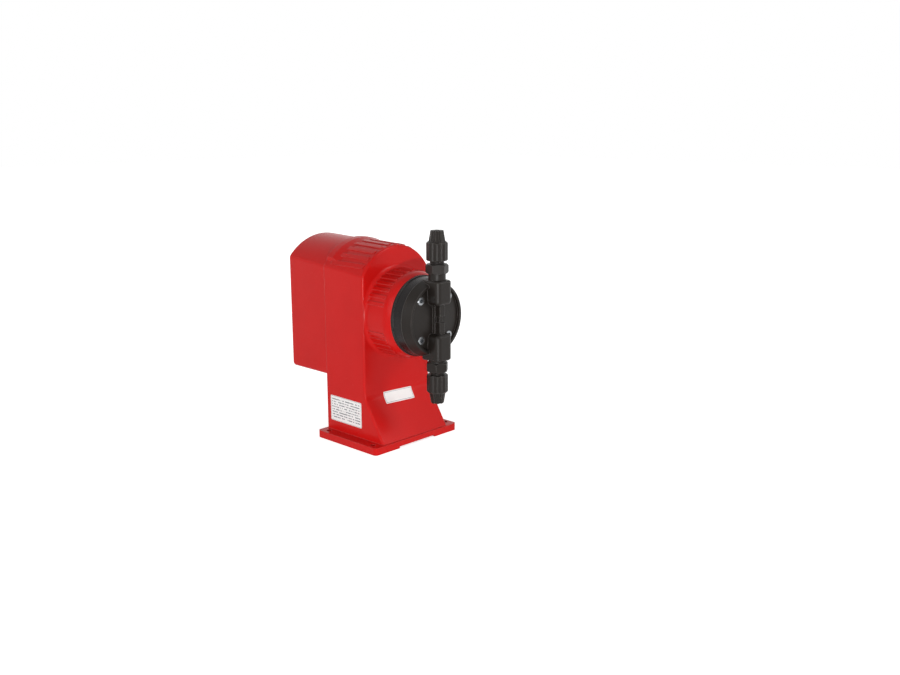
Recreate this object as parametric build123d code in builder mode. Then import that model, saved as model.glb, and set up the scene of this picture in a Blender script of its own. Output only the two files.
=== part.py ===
from build123d import *
import math
import os

os.makedirs("parts", exist_ok=True)

# Solenoid-driven diaphragm metering pump: a moulded housing on a foot, a rear cover that overhangs it,
# a round solenoid drive in the ring boss, and a liquid end with a suction and a discharge valve.
# Frame: +Z up, the liquid end faces -Y, origin at the centre of the foot's bolt pattern, on the
# surface the foot stands on. All sizes are in millimetres.

# ---------------------------------------------------------------- foot and pedestal
foot_length = 95.0
foot_width = 124.0
foot_height = 8.0
foot_corner = 4.0
foot_bolt_inset_x = 6.5
foot_bolt_inset_y = 11.5
foot_hole_radius = 2.75
relief_width = 54.0
relief_height = 2.0
foot_overhang = 30.5
pedestal_wall = 3.5
flare_top_z = 53.0
flare_reach = 28.1
flare_blend = 18.0

# ---------------------------------------------------------------- casing
body_width = 97.5
front_depth = 62.0
cover_depth = 61.0
overhang_z = 69.5
front_spring_z = 185.0
front_crown_z = 214.0
rear_spring_z = 195.6
rear_crown_z = 217.6
spring_blend = 5.0
front_edge_radius = 2.2
rear_edge_radius = 3.0
overhang_edge_radius = 4.5
wall = 3.2
bulkhead = 5.0
rear_wall = 5.0
seam_chamfer = 0.4

# raised grip bars on the vault, and the band that they run out of
grip_bar_count = 10
grip_bar_pitch = 11.0
grip_bar_width = 5.2
grip_bar_rise = 1.0
grip_bar_setback = 5.0
band_half_width = 44.0
band_rise = 2.6
band_depth = 9.0
band_ramp = 16.0
band_root = -0.8

# ---------------------------------------------------------------- ring boss
head_z = 142.3
ring_radius = 46.6
ring_root = 5.0
ring_bar_end = 26.5
ring_end = 36.0
ring_end_radius = 43.6
ring_lean = 0.55
ring_bar_count = 15
ring_bar_pitch = 10.0
ring_bar_width = 4.0
ring_bar_rise = 0.9
drive_bore_radius = 42.5
drive_bore_end = 24.0
front_bore_radius = 24.0

# ---------------------------------------------------------------- fits
gap = 0.3
slip = 0.05
running = 0.06

# ---------------------------------------------------------------- cover screws
cover_screw_x = 40.5
cover_screw_low_z = 82.0
cover_screw_high_z = 184.0
cover_screw_radius = 2.0
cover_screw_head_radius = 3.9
cover_screw_head_height = 3.0
cover_screw_sink = 5.0
cover_screw_slot = 0.8
screw_tip_gap = 2.0
boss_radius = 5.5
boss_length = 22.0
gasket_inset = 1.4
gasket_width = 1.0

# ---------------------------------------------------------------- rear control panel
panel_z = 148.0
panel_width = 72.0
panel_height = 88.0
panel_thickness = 2.5
panel_corner = 4.0
panel_ledge = 5.0
panel_screw_radius = 1.25
panel_screw_inset = 3.2
panel_screw_length = 4.5
panel_screw_head_radius = 2.3
panel_screw_head_height = 1.3

knob_x = 0.0
knob_z = 162.0
knob_radius = 15.0
knob_height = 15.0
knob_flutes = 18
knob_flute_radius = 1.4
knob_skirt_width = 2.0
knob_draft = 1.0
knob_edge = 1.0
knob_gap = 0.6
knob_recess_radius = 8.0
knob_recess = 3.4
knob_grip = 9.0
pot_shaft_radius = 3.0
pot_bush_radius = 4.4
pot_body_radius = 8.5
pot_nut_flats = 11.0
pot_nut_height = 2.0
pot_depth = 9.0
pot_shaft_depth = 5.0

switch_x = 17.0
switch_z = 122.0
switch_width = 15.0
switch_height = 22.0
switch_bezel = 1.6
switch_depth = 12.0
rocker_half_length = 7.6
rocker_width = 11.6
rocker_end_rise = 2.6
rocker_middle_rise = 1.8
rocker_tilt = 8.0
rocker_pin_radius = 1.0
rocker_pin_length = 1.4
rocker_pivot_depth = 1.6

led_x = -17.0
led_z = 126.0
led_radius = 2.5
led_rise = 1.6
led_shoulder_radius = 1.5
led_shoulder_rise = 1.3

# ---------------------------------------------------------------- circuit board
board_width = 66.0
board_height = 100.0
board_thickness = 1.6
board_gap = 10.9
board_screw_x = 28.0
board_screw_z = 44.0
standoff_radius = 3.2
board_screw_radius = 1.4
board_screw_length = 9.0
board_screw_head_radius = 2.5
board_screw_head_height = 1.5
transformer_width = 34.0
transformer_height = 30.0
transformer_depth = 24.0
transformer_yoke_width = 22.0
transformer_coil_height = 18.0
transformer_coil_depth = 19.0
transformer_corner = 3.0
transformer_z = 118.0
capacitor_radius = 6.3
capacitor_height = 20.0
capacitor_z = 165.0
capacitor_pitch = 15.0
capacitor_count = 3
terminal_width = 40.0
terminal_height = 9.0
terminal_depth = 11.0
terminal_pitch = 8.0
terminal_ways = 5
terminal_screw_radius = 1.7
terminal_screw_sink = 3.5
terminal_z = 184.0

# ---------------------------------------------------------------- cable gland
gland_x = 22.0
gland_setback = 24.0
gland_radius = 8.0
gland_flats = 22.0
gland_flange = 5.0
gland_thread = 9.0
gland_locknut = 5.0
gland_cap = 14.0
gland_cap_radius = 10.5
gland_cap_dome = 3.5
gland_cap_wall = 2.0
gland_cap_gap = 1.0
gland_rib_radius = 1.0
gland_end = 1.0
gland_seal_radius = 6.0
gland_seal_height = 6.0
gland_bore_radius = 3.2
gland_ribs = 12

# ---------------------------------------------------------------- solenoid, measured forward from the front face
yoke_radius = 42.0
yoke_wall = 4.5
yoke_front_plate = 6.0
yoke_length = 60.0
core_radius = 15.0
core_end = -25.5
rod_radius = 4.0
rod_hole_radius = 4.6
rod_stub_radius = 3.0
air_gap = 2.0
armature_radius = 35.5
armature_thickness = 9.0
bobbin_wall = 2.0
coil_radius = 34.5
spring_mean_radius = 7.0
spring_wire_radius = 0.8
spring_pocket_radius = 9.0
spring_pocket_depth = 10.0
spring_turns = 4
yoke_screw_circle = 33.0
yoke_screw_count = 4
yoke_screw_socket = 3.0
yoke_screw_radius = 2.0
yoke_screw_head_radius = 3.5
yoke_screw_head_height = 3.8

# ---------------------------------------------------------------- liquid end
flange_radius = 43.25
flange_rim = 2.6
flange_step_radius = 42.3
head_flange_depth = 13.5
joint_radius = 41.6
spigot_length = 6.0
head_thickness = 10.6
head_radius = 37.7
edge_blend = 0.8
lip_width = 3.0
recess_depth = 3.0
hub_radius = 12.0
hub_rise = 1.8
head_screw_pitch = 41.4
head_screw_radius = 2.5
head_screw_head_radius = 4.25
head_screw_head_height = 5.0
head_screw_socket = 4.0
head_screw_floor = 3.5
head_screw_length = 22.0
diaphragm_radius = 25.5
diaphragm_thickness = 2.4
chamber_radius = 20.5
chamber_depth = 2.8
insert_radius = 9.0
insert_thickness = 2.5
guide_radius = 7.0
guide_length = 9.0
dish_shelf = 1.0

# ---------------------------------------------------------------- valve tower on the head
valve_offset = 11.1
tower_half_width = 11.1
tower_depth = 12.0
tower_corner = 5.4
tower_end_chamfer = 1.4
tower_shoulder = 4.2
tower_foot = 15.2
discharge_tower_end = 40.8
suction_tower_end = 43.8
waist_half_width = 3.9
waist_depth = 8.0
waist_corner = 1.5
waist_end = 16.0
waist_start = 3.0
neck_half_width = 2.6
neck_depth = 5.8
web_half_width = 5.5
web_depth = 1.0
valve_bore_radius = 7.6
valve_bore_floor = 26.0
passage_radius = 2.2
passage_height = 14.0
seal_bore_radius = 2.6
seal_radius = 7.2
seal_thickness = 2.0

# ---------------------------------------------------------------- valve unions, nuts and check valves
discharge_hex_start = 48.0
suction_hex_start = 46.4
union_neck_radius = 9.1
union_hex_flats = 21.0
union_hex_turn = 22.0
union_hex_height = 9.6
union_hex_chamfer = 1.5
union_thread_radius = 7.0
union_thread = 13.0
cartridge_radius = 5.0
cartridge_depth = 11.0
union_bore_radius = 1.6
nozzle_length = 8.4
nozzle_root_radius = 3.0
nozzle_tip_radius = 2.3
nut_lift = 3.6
nut_radius = 11.2
nut_core_radius = 10.15
nut_lobes = 8
nut_lobe_radius = 4.6
nut_height = 19.7
nut_chamfer = 1.7
cone_base_radius = 8.7
cone_tip_radius = 6.8
cone_height = 11.2
cone_groove_width = 2.0
cone_groove_depth = 0.9
tube_radius = 3.2
nut_cavity_height = 16.5
nut_funnel_height = 3.0
ferrule_radius = 6.8
ferrule_bore_radius = 3.5
ferrule_height = 6.0
ferrule_chamfer = 2.0
ball_radius = 3.175
ball_clearance = 0.06
ball_lift = 1.6
seat_height = 3.0
seat_bore_radius = 2.25
cage_bore_radius = 3.6
cage_port_circle = 2.3
cage_port_radius = 0.9
cage_ports = 4

# ---------------------------------------------------------------- worked out from the sizes above
foot_bolt_x = foot_width - 2 * foot_bolt_inset_x
foot_bolt_y = foot_length - 2 * foot_bolt_inset_y
front_y = foot_overhang - foot_length / 2
seam_y = front_y + front_depth
rear_y = seam_y + cover_depth
body_half = body_width / 2
panel_face_y = rear_y
panel_back_y = rear_y - panel_thickness
rear_inner_y = rear_y - rear_wall
board_rear_y = rear_inner_y - board_gap
board_front_y = board_rear_y - board_thickness
board_z = panel_z
joint_depth = ring_end + head_flange_depth
head_depth = joint_depth + head_thickness
head_screw_seat = joint_depth + head_screw_floor
valve_reach = joint_depth + valve_offset
tower_front = valve_reach + tower_depth
waist_front = valve_reach + waist_depth
neck_front = valve_reach + neck_depth
web_front = valve_reach + web_depth
valve_y = front_y - valve_reach
head_screw_points = [
    (side * head_screw_pitch / 2, head_z + level * head_screw_pitch / 2)
    for side in (-1, 1)
    for level in (-1, 1)
]
cover_screw_points = [
    (side * cover_screw_x, height)
    for side in (-1, 1)
    for height in (cover_screw_low_z, cover_screw_high_z)
]
panel_screw_points = [
    (side * (panel_width / 2 - panel_screw_inset), panel_z + level * (panel_height / 2 - panel_screw_inset))
    for side in (-1, 1)
    for level in (-1, 1)
]
board_screw_points = [
    (side * board_screw_x, board_z + level * board_screw_z)
    for side in (-1, 1)
    for level in (-1, 1)
]

drive_axis = Axis((0, 0, head_z), (0, 1, 0))
# A half profile on this plane is drawn as (radius, distance forward of the front face).
drive_plane = Plane(origin=(0, front_y, head_z), x_dir=(1, 0, 0), z_dir=(0, 0, -1))


def facing_front(y):
    """Plane square to the pump axis: local x is X, local y is Z, and an extrusion runs forward."""
    return Plane(origin=(0, y, 0), x_dir=(1, 0, 0), z_dir=(0, -1, 0))


def half_profile(plane, outline):
    """Closed half profile of a turned piece, drawn on a plane through its axis."""
    with BuildSketch(plane) as profile:
        with BuildLine():
            Polyline(*outline, close=True)
        make_face()
    return profile.sketch


def arch(y, inset):
    """Centre height and radius of the vault at y, and the height where it meets the wall."""
    share = (y - front_y) / (rear_y - front_y)
    spring_z = front_spring_z + share * (rear_spring_z - front_spring_z)
    crown_z = front_crown_z + share * (rear_crown_z - front_crown_z)
    sagitta = crown_z - spring_z
    radius = (body_half**2 + sagitta**2) / (2 * sagitta)
    centre_z = crown_z - radius
    radius -= inset
    return centre_z, radius, centre_z + math.sqrt(radius**2 - (body_half - inset) ** 2)


def casing_section(y, floor_z, inset):
    """Cross-section of the casing at y: upright walls under a segmental vault, drawn inset mm inside."""
    centre_z, radius, spring_z = arch(y, inset)
    half = body_half - inset
    with BuildSketch(facing_front(y)) as section:
        with BuildLine():
            Polyline((-half, spring_z), (-half, floor_z), (half, floor_z), (half, spring_z))
            ThreePointArc((half, spring_z), (0, centre_z + radius), (-half, spring_z))
        make_face()
        fillet(section.vertices().sort_by(Axis.Y)[-2:], spring_blend)
    return section.sketch


def band_section(y, rise):
    """Cross-section of the raised band at y: part of the vault, rise mm proud."""
    centre_z, radius, spring_z = arch(y, 0)
    radius += rise
    edge_z = centre_z + math.sqrt(radius**2 - band_half_width**2)
    with BuildSketch(facing_front(y)) as section:
        with BuildLine():
            Polyline(
                (-band_half_width, edge_z),
                (-band_half_width, spring_z - boss_radius),
                (band_half_width, spring_z - boss_radius),
                (band_half_width, edge_z),
            )
            ThreePointArc((band_half_width, edge_z), (0, centre_z + radius), (-band_half_width, edge_z))
        make_face()
    return section.sketch


def grip_bar_section(y, angle):
    """Cross-section of one grip bar at y, angle degrees from the crown."""
    centre_z, radius, spring_z = arch(y, 0)
    with BuildSketch(facing_front(y)) as section:
        with Locations((radius * math.sin(math.radians(angle)), centre_z + radius * math.cos(math.radians(angle)))):
            Rectangle(grip_bar_width, 2 * grip_bar_rise, rotation=-angle)
    return section.sketch


def export(piece, name):
    """Label a finished piece and write it as one STEP file."""
    piece.part.label = name
    export_step(piece.part, f"parts/{name}.step")


# ---------------------------------------------------------------- front housing
body_join_z = (overhang_z + head_z) / 2
flare_rise = flare_top_z - foot_height
flare_shift = pedestal_wall * math.hypot(flare_reach, flare_rise) / flare_rise
flare_inner_z = flare_top_z - (flare_shift - pedestal_wall) * flare_rise / flare_reach
hollow_top_z = overhang_z - pedestal_wall
bar_tip_y = front_y + grip_bar_setback
band_ramp_y = seam_y - band_depth - band_ramp

with BuildPart() as pedestal:
    with BuildSketch(Plane.YZ):
        with BuildLine():
            Polyline(
                (seam_y, 0),
                (seam_y, body_join_z),
                (front_y, body_join_z),
                (front_y, flare_top_z),
                (front_y - flare_reach, foot_height),
                (front_y - flare_reach, 0),
                close=True,
            )
        make_face()
    extrude(amount=body_half, both=True)
    crease = (
        pedestal.edges()
        .filter_by(Axis.X)
        .filter_by_position(Axis.Z, flare_top_z - gap, flare_top_z + gap)
        .filter_by_position(Axis.Y, front_y - gap, front_y + gap)
    )
    fillet(crease, flare_blend)
    front_corners = pedestal.edges().filter_by(
        lambda edge: edge.bounding_box().max.Y < front_y + gap
        and edge.bounding_box().max.Z > foot_height + gap
        and edge.bounding_box().size.Z > gap
    )
    fillet(front_corners, front_edge_radius)

with BuildPart() as front_housing:
    loft([casing_section(front_y, body_join_z, 0), casing_section(seam_y, body_join_z, 0)], ruled=True)
    front_rim = front_housing.edges().filter_by_position(Axis.Y, front_y - gap, front_y + gap)
    fillet(front_rim.sort_by(Axis.Z)[1:], front_edge_radius)
    add(pedestal.part)

    # raised band along the seam, ramping down to the grip bars
    loft([
        band_section(seam_y, band_rise),
        band_section(seam_y - band_depth, band_rise),
    ], ruled=True)
    loft([
        band_section(seam_y - band_depth, band_rise),
        band_section(band_ramp_y, band_root),
    ], ruled=True)
    for index in range(grip_bar_count):
        bar_angle = (index - (grip_bar_count - 1) / 2) * grip_bar_pitch
        loft([grip_bar_section(bar_tip_y, bar_angle), grip_bar_section(seam_y - band_depth, bar_angle)], ruled=True)

    # ring boss: a hollow root, a cylinder with grip bars, and a rounded lip
    with BuildSketch(drive_plane, mode=Mode.PRIVATE) as ring_profile:
        with BuildLine():
            Polyline(
                (0, -bulkhead / 2),
                (ring_radius + ring_root, -bulkhead / 2),
                (ring_radius + ring_root, 0),
            )
            RadiusArc((ring_radius + ring_root, 0), (ring_radius, ring_root), ring_root)
            Line((ring_radius, ring_root), (ring_radius, ring_bar_end))
            Spline(
                (ring_radius, ring_bar_end),
                (ring_end_radius, ring_end),
                tangents=((0, 1), (-ring_lean, 1)),
            )
            Polyline((ring_end_radius, ring_end), (0, ring_end), (0, -bulkhead / 2))
        make_face()
    ring = revolve(ring_profile.sketch, axis=drive_axis, mode=Mode.PRIVATE)
    ring_trim = extrude(casing_section(front_y + bulkhead, 0, 0), amount=ring_end * 2, mode=Mode.PRIVATE)
    add(ring & ring_trim)
    with BuildSketch(facing_front(front_y)):
        with Locations((0, head_z)):
            for first_angle in (90, -90):
                with PolarLocations(
                    ring_radius - ring_bar_rise,
                    ring_bar_count,
                    start_angle=first_angle - (ring_bar_count - 1) / 2 * ring_bar_pitch,
                    angular_range=(ring_bar_count - 1) * ring_bar_pitch,
                    endpoint=True,
                ):
                    Rectangle(4 * ring_bar_rise, ring_bar_width)
    extrude(amount=ring_bar_end)

    # foot
    with BuildSketch():
        RectangleRounded(foot_width, foot_length, foot_corner)
    extrude(amount=foot_height)

    # hollows: the casing, the pedestal from below, and the drive bore through the ring
    loft(
        [
            casing_section(front_y + bulkhead, overhang_z + wall, wall),
            casing_section(seam_y + gap, overhang_z + wall, wall),
        ],
        ruled=True,
        mode=Mode.SUBTRACT,
    )
    with BuildSketch(Plane.YZ):
        with BuildLine():
            Polyline(
                (seam_y - pedestal_wall, -gap),
                (seam_y - pedestal_wall, hollow_top_z),
                (front_y + pedestal_wall, hollow_top_z),
                (front_y + pedestal_wall, flare_inner_z),
                (front_y - flare_reach + flare_shift, foot_height),
                (front_y - flare_reach + flare_shift, -gap),
                close=True,
            )
        make_face()
    extrude(amount=body_half - pedestal_wall, both=True, mode=Mode.SUBTRACT)
    revolve(
        half_profile(drive_plane, [
            (0, -bulkhead - gap),
            (drive_bore_radius, -bulkhead - gap),
            (drive_bore_radius, drive_bore_end),
            (front_bore_radius, drive_bore_end),
            (front_bore_radius, ring_end + gap),
            (0, ring_end + gap),
        ]),
        axis=drive_axis,
        mode=Mode.SUBTRACT,
    )
    with Locations((0, 0, 0)):
        Box(
            relief_width,
            foot_length + 2 * gap,
            relief_height,
            align=(Align.CENTER, Align.CENTER, Align.MIN),
            mode=Mode.SUBTRACT,
        )
    with Locations((0, 0, foot_height)):
        with GridLocations(foot_bolt_x, foot_bolt_y, 2, 2):
            Hole(foot_hole_radius, depth=foot_height)

    # bosses for the cover screws
    with BuildSketch(facing_front(seam_y)):
        with Locations(*cover_screw_points):
            Circle(boss_radius)
    extrude(amount=boss_length)
    with BuildSketch(facing_front(seam_y)):
        with Locations(*cover_screw_points):
            Circle(cover_screw_radius + slip)
    extrude(amount=boss_length - wall, mode=Mode.SUBTRACT)

    # threads for the head screws, and stepped holes for the screws that hold the solenoid
    with BuildSketch(facing_front(front_y - ring_end)):
        with Locations(*head_screw_points):
            Circle(head_screw_radius + slip)
    extrude(amount=-(ring_end - drive_bore_end), mode=Mode.SUBTRACT)
    with BuildSketch(facing_front(front_y - ring_end)):
        with Locations((0, head_z)):
            with PolarLocations(yoke_screw_circle, yoke_screw_count):
                Circle(yoke_screw_radius + slip)
    extrude(amount=-(ring_end - drive_bore_end), mode=Mode.SUBTRACT)
    with BuildSketch(facing_front(front_y - ring_end)):
        with Locations((0, head_z)):
            with PolarLocations(yoke_screw_circle, yoke_screw_count):
                Circle(yoke_screw_head_radius + gap)
    extrude(amount=-(yoke_screw_head_height + gap), mode=Mode.SUBTRACT)
export(front_housing, "front_housing")

# ---------------------------------------------------------------- rear cover
with BuildPart() as rear_cover:
    loft([casing_section(seam_y, overhang_z, 0), casing_section(rear_y, overhang_z, 0)], ruled=True)
    overhang_edge = rear_cover.edges().filter_by_position(Axis.Y, rear_y - gap, rear_y + gap).sort_by(Axis.Z)[0]
    fillet(overhang_edge, overhang_edge_radius)
    rear_rim = rear_cover.edges().filter_by(
        lambda edge: edge.center().Y > seam_y + gap
        and abs(edge.center().X) > body_half - spring_blend
        and edge.center().Z < rear_spring_z - spring_blend
    )
    rear_arch = rear_cover.edges().filter_by_position(Axis.Y, rear_y - gap, rear_y + gap).sort_by(Axis.Z)[-3:]
    fillet(rear_rim + rear_arch, rear_edge_radius)
    seam_rim = rear_cover.edges().filter_by_position(Axis.Y, seam_y - gap, seam_y + gap)
    chamfer(seam_rim, seam_chamfer)
    loft(
        [
            casing_section(seam_y - gap, overhang_z + wall, wall),
            casing_section(rear_inner_y, overhang_z + wall, wall),
        ],
        ruled=True,
        mode=Mode.SUBTRACT,
    )
    with BuildSketch(facing_front(rear_inner_y)):
        with Locations(*cover_screw_points):
            Circle(boss_radius)
    extrude(amount=rear_inner_y - seam_y)
    with BuildSketch(facing_front(rear_inner_y)):
        with Locations(*board_screw_points):
            Circle(standoff_radius)
    extrude(amount=board_gap)
    with BuildSketch(facing_front(rear_y)):
        with Locations(*cover_screw_points):
            Circle(cover_screw_radius + slip)
    extrude(amount=rear_y - seam_y + gap, mode=Mode.SUBTRACT)
    with BuildSketch(facing_front(rear_y + gap)):
        with Locations(*cover_screw_points):
            Circle(cover_screw_head_radius + gap)
    extrude(amount=cover_screw_sink + gap, mode=Mode.SUBTRACT)
    with BuildSketch(facing_front(rear_y + gap)):
        with Locations((0, panel_z)):
            RectangleRounded(panel_width + 2 * slip, panel_height + 2 * slip, panel_corner + slip)
    extrude(amount=panel_thickness + gap, mode=Mode.SUBTRACT)
    with BuildSketch(facing_front(rear_y)):
        with Locations((0, panel_z)):
            RectangleRounded(panel_width - 2 * panel_ledge, panel_height - 2 * panel_ledge, panel_corner)
    extrude(amount=rear_wall + gap, mode=Mode.SUBTRACT)
    with BuildSketch(facing_front(panel_back_y)):
        with Locations(*panel_screw_points):
            Circle(panel_screw_radius + slip)
    extrude(amount=rear_wall - panel_thickness, mode=Mode.SUBTRACT)
    with BuildSketch(facing_front(board_rear_y)):
        with Locations(*board_screw_points):
            Circle(board_screw_radius + slip)
    extrude(amount=-board_screw_length, mode=Mode.SUBTRACT)
    with Locations((gland_x, rear_y - gland_setback, overhang_z + wall)):
        Hole(gland_radius + slip, depth=wall)
    # groove for the gasket in the face that meets the front housing
    groove = extrude(
        casing_section(seam_y + gasket_width, overhang_z + gasket_inset, gasket_inset),
        amount=gasket_width,
        mode=Mode.PRIVATE,
    )
    groove_core = extrude(
        casing_section(seam_y + gasket_width, overhang_z + gasket_inset + gasket_width, gasket_inset + gasket_width),
        amount=gasket_width,
        mode=Mode.PRIVATE,
    )
    add(groove - groove_core, mode=Mode.SUBTRACT)
export(rear_cover, "rear_cover")

with BuildPart() as cover_gasket:
    extrude(
        casing_section(seam_y + gasket_width, overhang_z + gasket_inset, gasket_inset),
        amount=gasket_width,
    )
    extrude(
        casing_section(seam_y + gasket_width, overhang_z + gasket_inset + gasket_width, gasket_inset + gasket_width),
        amount=gasket_width,
        mode=Mode.SUBTRACT,
    )
export(cover_gasket, "cover_gasket")

cover_screw_length = rear_inner_y - seam_y + boss_length - wall - screw_tip_gap
with BuildPart() as cover_screws:
    with BuildSketch(facing_front(rear_inner_y)):
        with Locations(*cover_screw_points):
            Circle(cover_screw_radius)
    extrude(amount=cover_screw_length)
    with BuildSketch(facing_front(rear_inner_y)):
        with Locations(*cover_screw_points):
            Circle(cover_screw_head_radius)
    extrude(amount=-cover_screw_head_height)
    with BuildSketch(facing_front(rear_inner_y + cover_screw_head_height)):
        with Locations(*cover_screw_points):
            Rectangle(cover_screw_head_radius, cover_screw_slot)
            Rectangle(cover_screw_slot, cover_screw_head_radius)
    extrude(amount=cover_screw_head_height / 2, mode=Mode.SUBTRACT)
export(cover_screws, "cover_screws")

# ---------------------------------------------------------------- control panel and what it carries
with BuildPart() as control_panel:
    with BuildSketch(facing_front(panel_face_y)):
        with Locations((0, panel_z)):
            RectangleRounded(panel_width, panel_height, panel_corner)
        with Locations(*panel_screw_points):
            Circle(panel_screw_radius + slip, mode=Mode.SUBTRACT)
        with Locations((knob_x, knob_z)):
            Circle(pot_bush_radius + slip, mode=Mode.SUBTRACT)
        with Locations((switch_x, switch_z)):
            Rectangle(switch_width + 2 * slip, switch_height + 2 * slip, mode=Mode.SUBTRACT)
        with Locations((led_x, led_z)):
            Circle(led_radius + slip, mode=Mode.SUBTRACT)
    extrude(amount=panel_thickness)
export(control_panel, "control_panel")

with BuildPart() as panel_screws:
    with BuildSketch(facing_front(panel_face_y)):
        with Locations(*panel_screw_points):
            Circle(panel_screw_radius)
    extrude(amount=panel_screw_length)
    with BuildSketch(facing_front(panel_face_y)):
        with Locations(*panel_screw_points):
            Circle(panel_screw_head_radius)
    extrude(amount=-panel_screw_head_height)
    with BuildSketch(facing_front(panel_face_y + panel_screw_head_height)):
        with Locations(*panel_screw_points):
            Rectangle(panel_screw_head_radius * 2 + gap, panel_screw_head_height / 2)
    extrude(amount=panel_screw_head_height / 2, mode=Mode.SUBTRACT)
export(panel_screws, "panel_screws")

# Behind the panel the axis of the knob is an axis along Y, drawn as (radius, distance forward of the panel face).
knob_plane = Plane(origin=(knob_x, panel_face_y, knob_z), x_dir=(1, 0, 0), z_dir=(0, 0, -1))
knob_axis = Axis((knob_x, panel_face_y, knob_z), (0, 1, 0))
pot_hole_radius = pot_shaft_radius + running
pot_end = panel_thickness + pot_depth
shaft_start = -knob_gap - knob_recess - knob_grip
shaft_end = panel_thickness + pot_shaft_depth

with BuildPart() as potentiometer:
    revolve(
        half_profile(knob_plane, [
            (pot_hole_radius, -pot_nut_height - gap),
            (pot_bush_radius, -pot_nut_height - gap),
            (pot_bush_radius, panel_thickness),
            (pot_body_radius, panel_thickness),
            (pot_body_radius, pot_end),
            (0, pot_end),
            (0, shaft_end + gap),
            (pot_hole_radius, shaft_end + gap),
        ]),
        axis=knob_axis,
    )
    with BuildSketch(facing_front(panel_face_y)):
        with Locations((knob_x, knob_z)):
            RegularPolygon(pot_nut_flats / 2, 6, major_radius=False)
            Circle(pot_bush_radius, mode=Mode.SUBTRACT)
    extrude(amount=-pot_nut_height)
export(potentiometer, "potentiometer")

with BuildPart() as knob_spindle:
    with BuildSketch(facing_front(panel_face_y - shaft_start)):
        with Locations((knob_x, knob_z)):
            Circle(pot_shaft_radius)
    extrude(amount=shaft_end - shaft_start)
export(knob_spindle, "knob_spindle")

with BuildPart() as stroke_knob:
    revolve(
        half_profile(knob_plane, [
            (pot_shaft_radius, -knob_gap - knob_recess),
            (knob_recess_radius, -knob_gap - knob_recess),
            (knob_recess_radius, -knob_gap),
            (knob_radius, -knob_gap),
            (knob_radius, -knob_gap - knob_recess + knob_edge),
            (knob_radius - knob_skirt_width, -knob_gap - knob_recess),
            (knob_radius - knob_skirt_width - knob_draft, -knob_gap - knob_height + knob_edge),
            (knob_radius - knob_skirt_width - knob_draft - knob_edge, -knob_gap - knob_height),
            (0, -knob_gap - knob_height),
            (0, shaft_start),
            (pot_shaft_radius, shaft_start),
        ]),
        axis=knob_axis,
    )
    with BuildSketch(facing_front(panel_face_y + knob_gap + knob_recess)):
        with Locations((knob_x, knob_z)):
            with PolarLocations(knob_radius - knob_skirt_width + knob_flute_radius / 2, knob_flutes):
                Circle(knob_flute_radius)
    extrude(amount=-knob_height, mode=Mode.SUBTRACT)
export(stroke_knob, "stroke_knob")

rocker_pivot_y = panel_face_y - rocker_pivot_depth
rocker_swing = math.hypot(rocker_half_length, rocker_end_rise)
rocker_plane = Plane(origin=(switch_x, rocker_pivot_y, switch_z), x_dir=(0, 0, 1), z_dir=(1, 0, 0))
tilt_angle = math.radians(rocker_tilt)
tilted_plane = Plane(
    origin=rocker_plane.origin, x_dir=(0, math.sin(tilt_angle), math.cos(tilt_angle)), z_dir=(1, 0, 0)
)

with BuildPart() as switch_body:
    with BuildSketch(facing_front(panel_face_y + switch_bezel)):
        with Locations((switch_x, switch_z)):
            RectangleRounded(switch_width + 2 * switch_bezel, switch_height + 2 * switch_bezel, switch_bezel)
    extrude(amount=switch_bezel)
    with BuildSketch(facing_front(panel_face_y)):
        with Locations((switch_x, switch_z)):
            Rectangle(switch_width, switch_height)
    extrude(amount=panel_thickness + switch_depth)
    with BuildSketch(facing_front(panel_face_y + switch_bezel)):
        with Locations((switch_x, switch_z)):
            Rectangle(rocker_width + 2 * gap, 2 * (rocker_swing + gap))
    extrude(amount=switch_bezel + rocker_pivot_depth + rocker_swing + gap, mode=Mode.SUBTRACT)
    with BuildSketch(rocker_plane):
        Circle(rocker_pin_radius + running)
    extrude(amount=rocker_width / 2 + rocker_pin_length + slip, both=True, mode=Mode.SUBTRACT)
export(switch_body, "switch_body")

with BuildPart() as power_rocker:
    with BuildSketch(tilted_plane):
        with BuildLine():
            Polyline(
                (-rocker_half_length, -rocker_end_rise),
                (0, -rocker_middle_rise),
                (rocker_half_length, -rocker_end_rise),
            )
            ThreePointArc(
                (rocker_half_length, -rocker_end_rise),
                (0, rocker_swing),
                (-rocker_half_length, -rocker_end_rise),
            )
        make_face()
    extrude(amount=rocker_width / 2, both=True)
    with BuildSketch(rocker_plane):
        Circle(rocker_pin_radius)
    extrude(amount=rocker_width / 2 + rocker_pin_length, both=True)
export(power_rocker, "power_rocker")

led_plane = Plane(origin=(led_x, panel_face_y, led_z), x_dir=(1, 0, 0), z_dir=(0, 0, -1))
with BuildPart() as status_led:
    revolve(
        half_profile(led_plane, [
            (0, -led_rise),
            (led_shoulder_radius, -led_shoulder_rise),
            (led_radius, 0),
            (led_radius, panel_thickness),
            (led_radius + gap, panel_thickness),
            (led_radius + gap, panel_thickness + led_radius),
            (0, panel_thickness + led_radius),
        ]),
        axis=Axis((led_x, panel_face_y, led_z), (0, 1, 0)),
    )
export(status_led, "status_led")

# ---------------------------------------------------------------- circuit board and its large components
with BuildPart() as circuit_board:
    with BuildSketch(facing_front(board_rear_y)):
        with Locations((0, board_z)):
            Rectangle(board_width, board_height)
        with Locations(*board_screw_points):
            Circle(board_screw_radius + slip, mode=Mode.SUBTRACT)
    extrude(amount=board_thickness)
export(circuit_board, "circuit_board")

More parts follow.
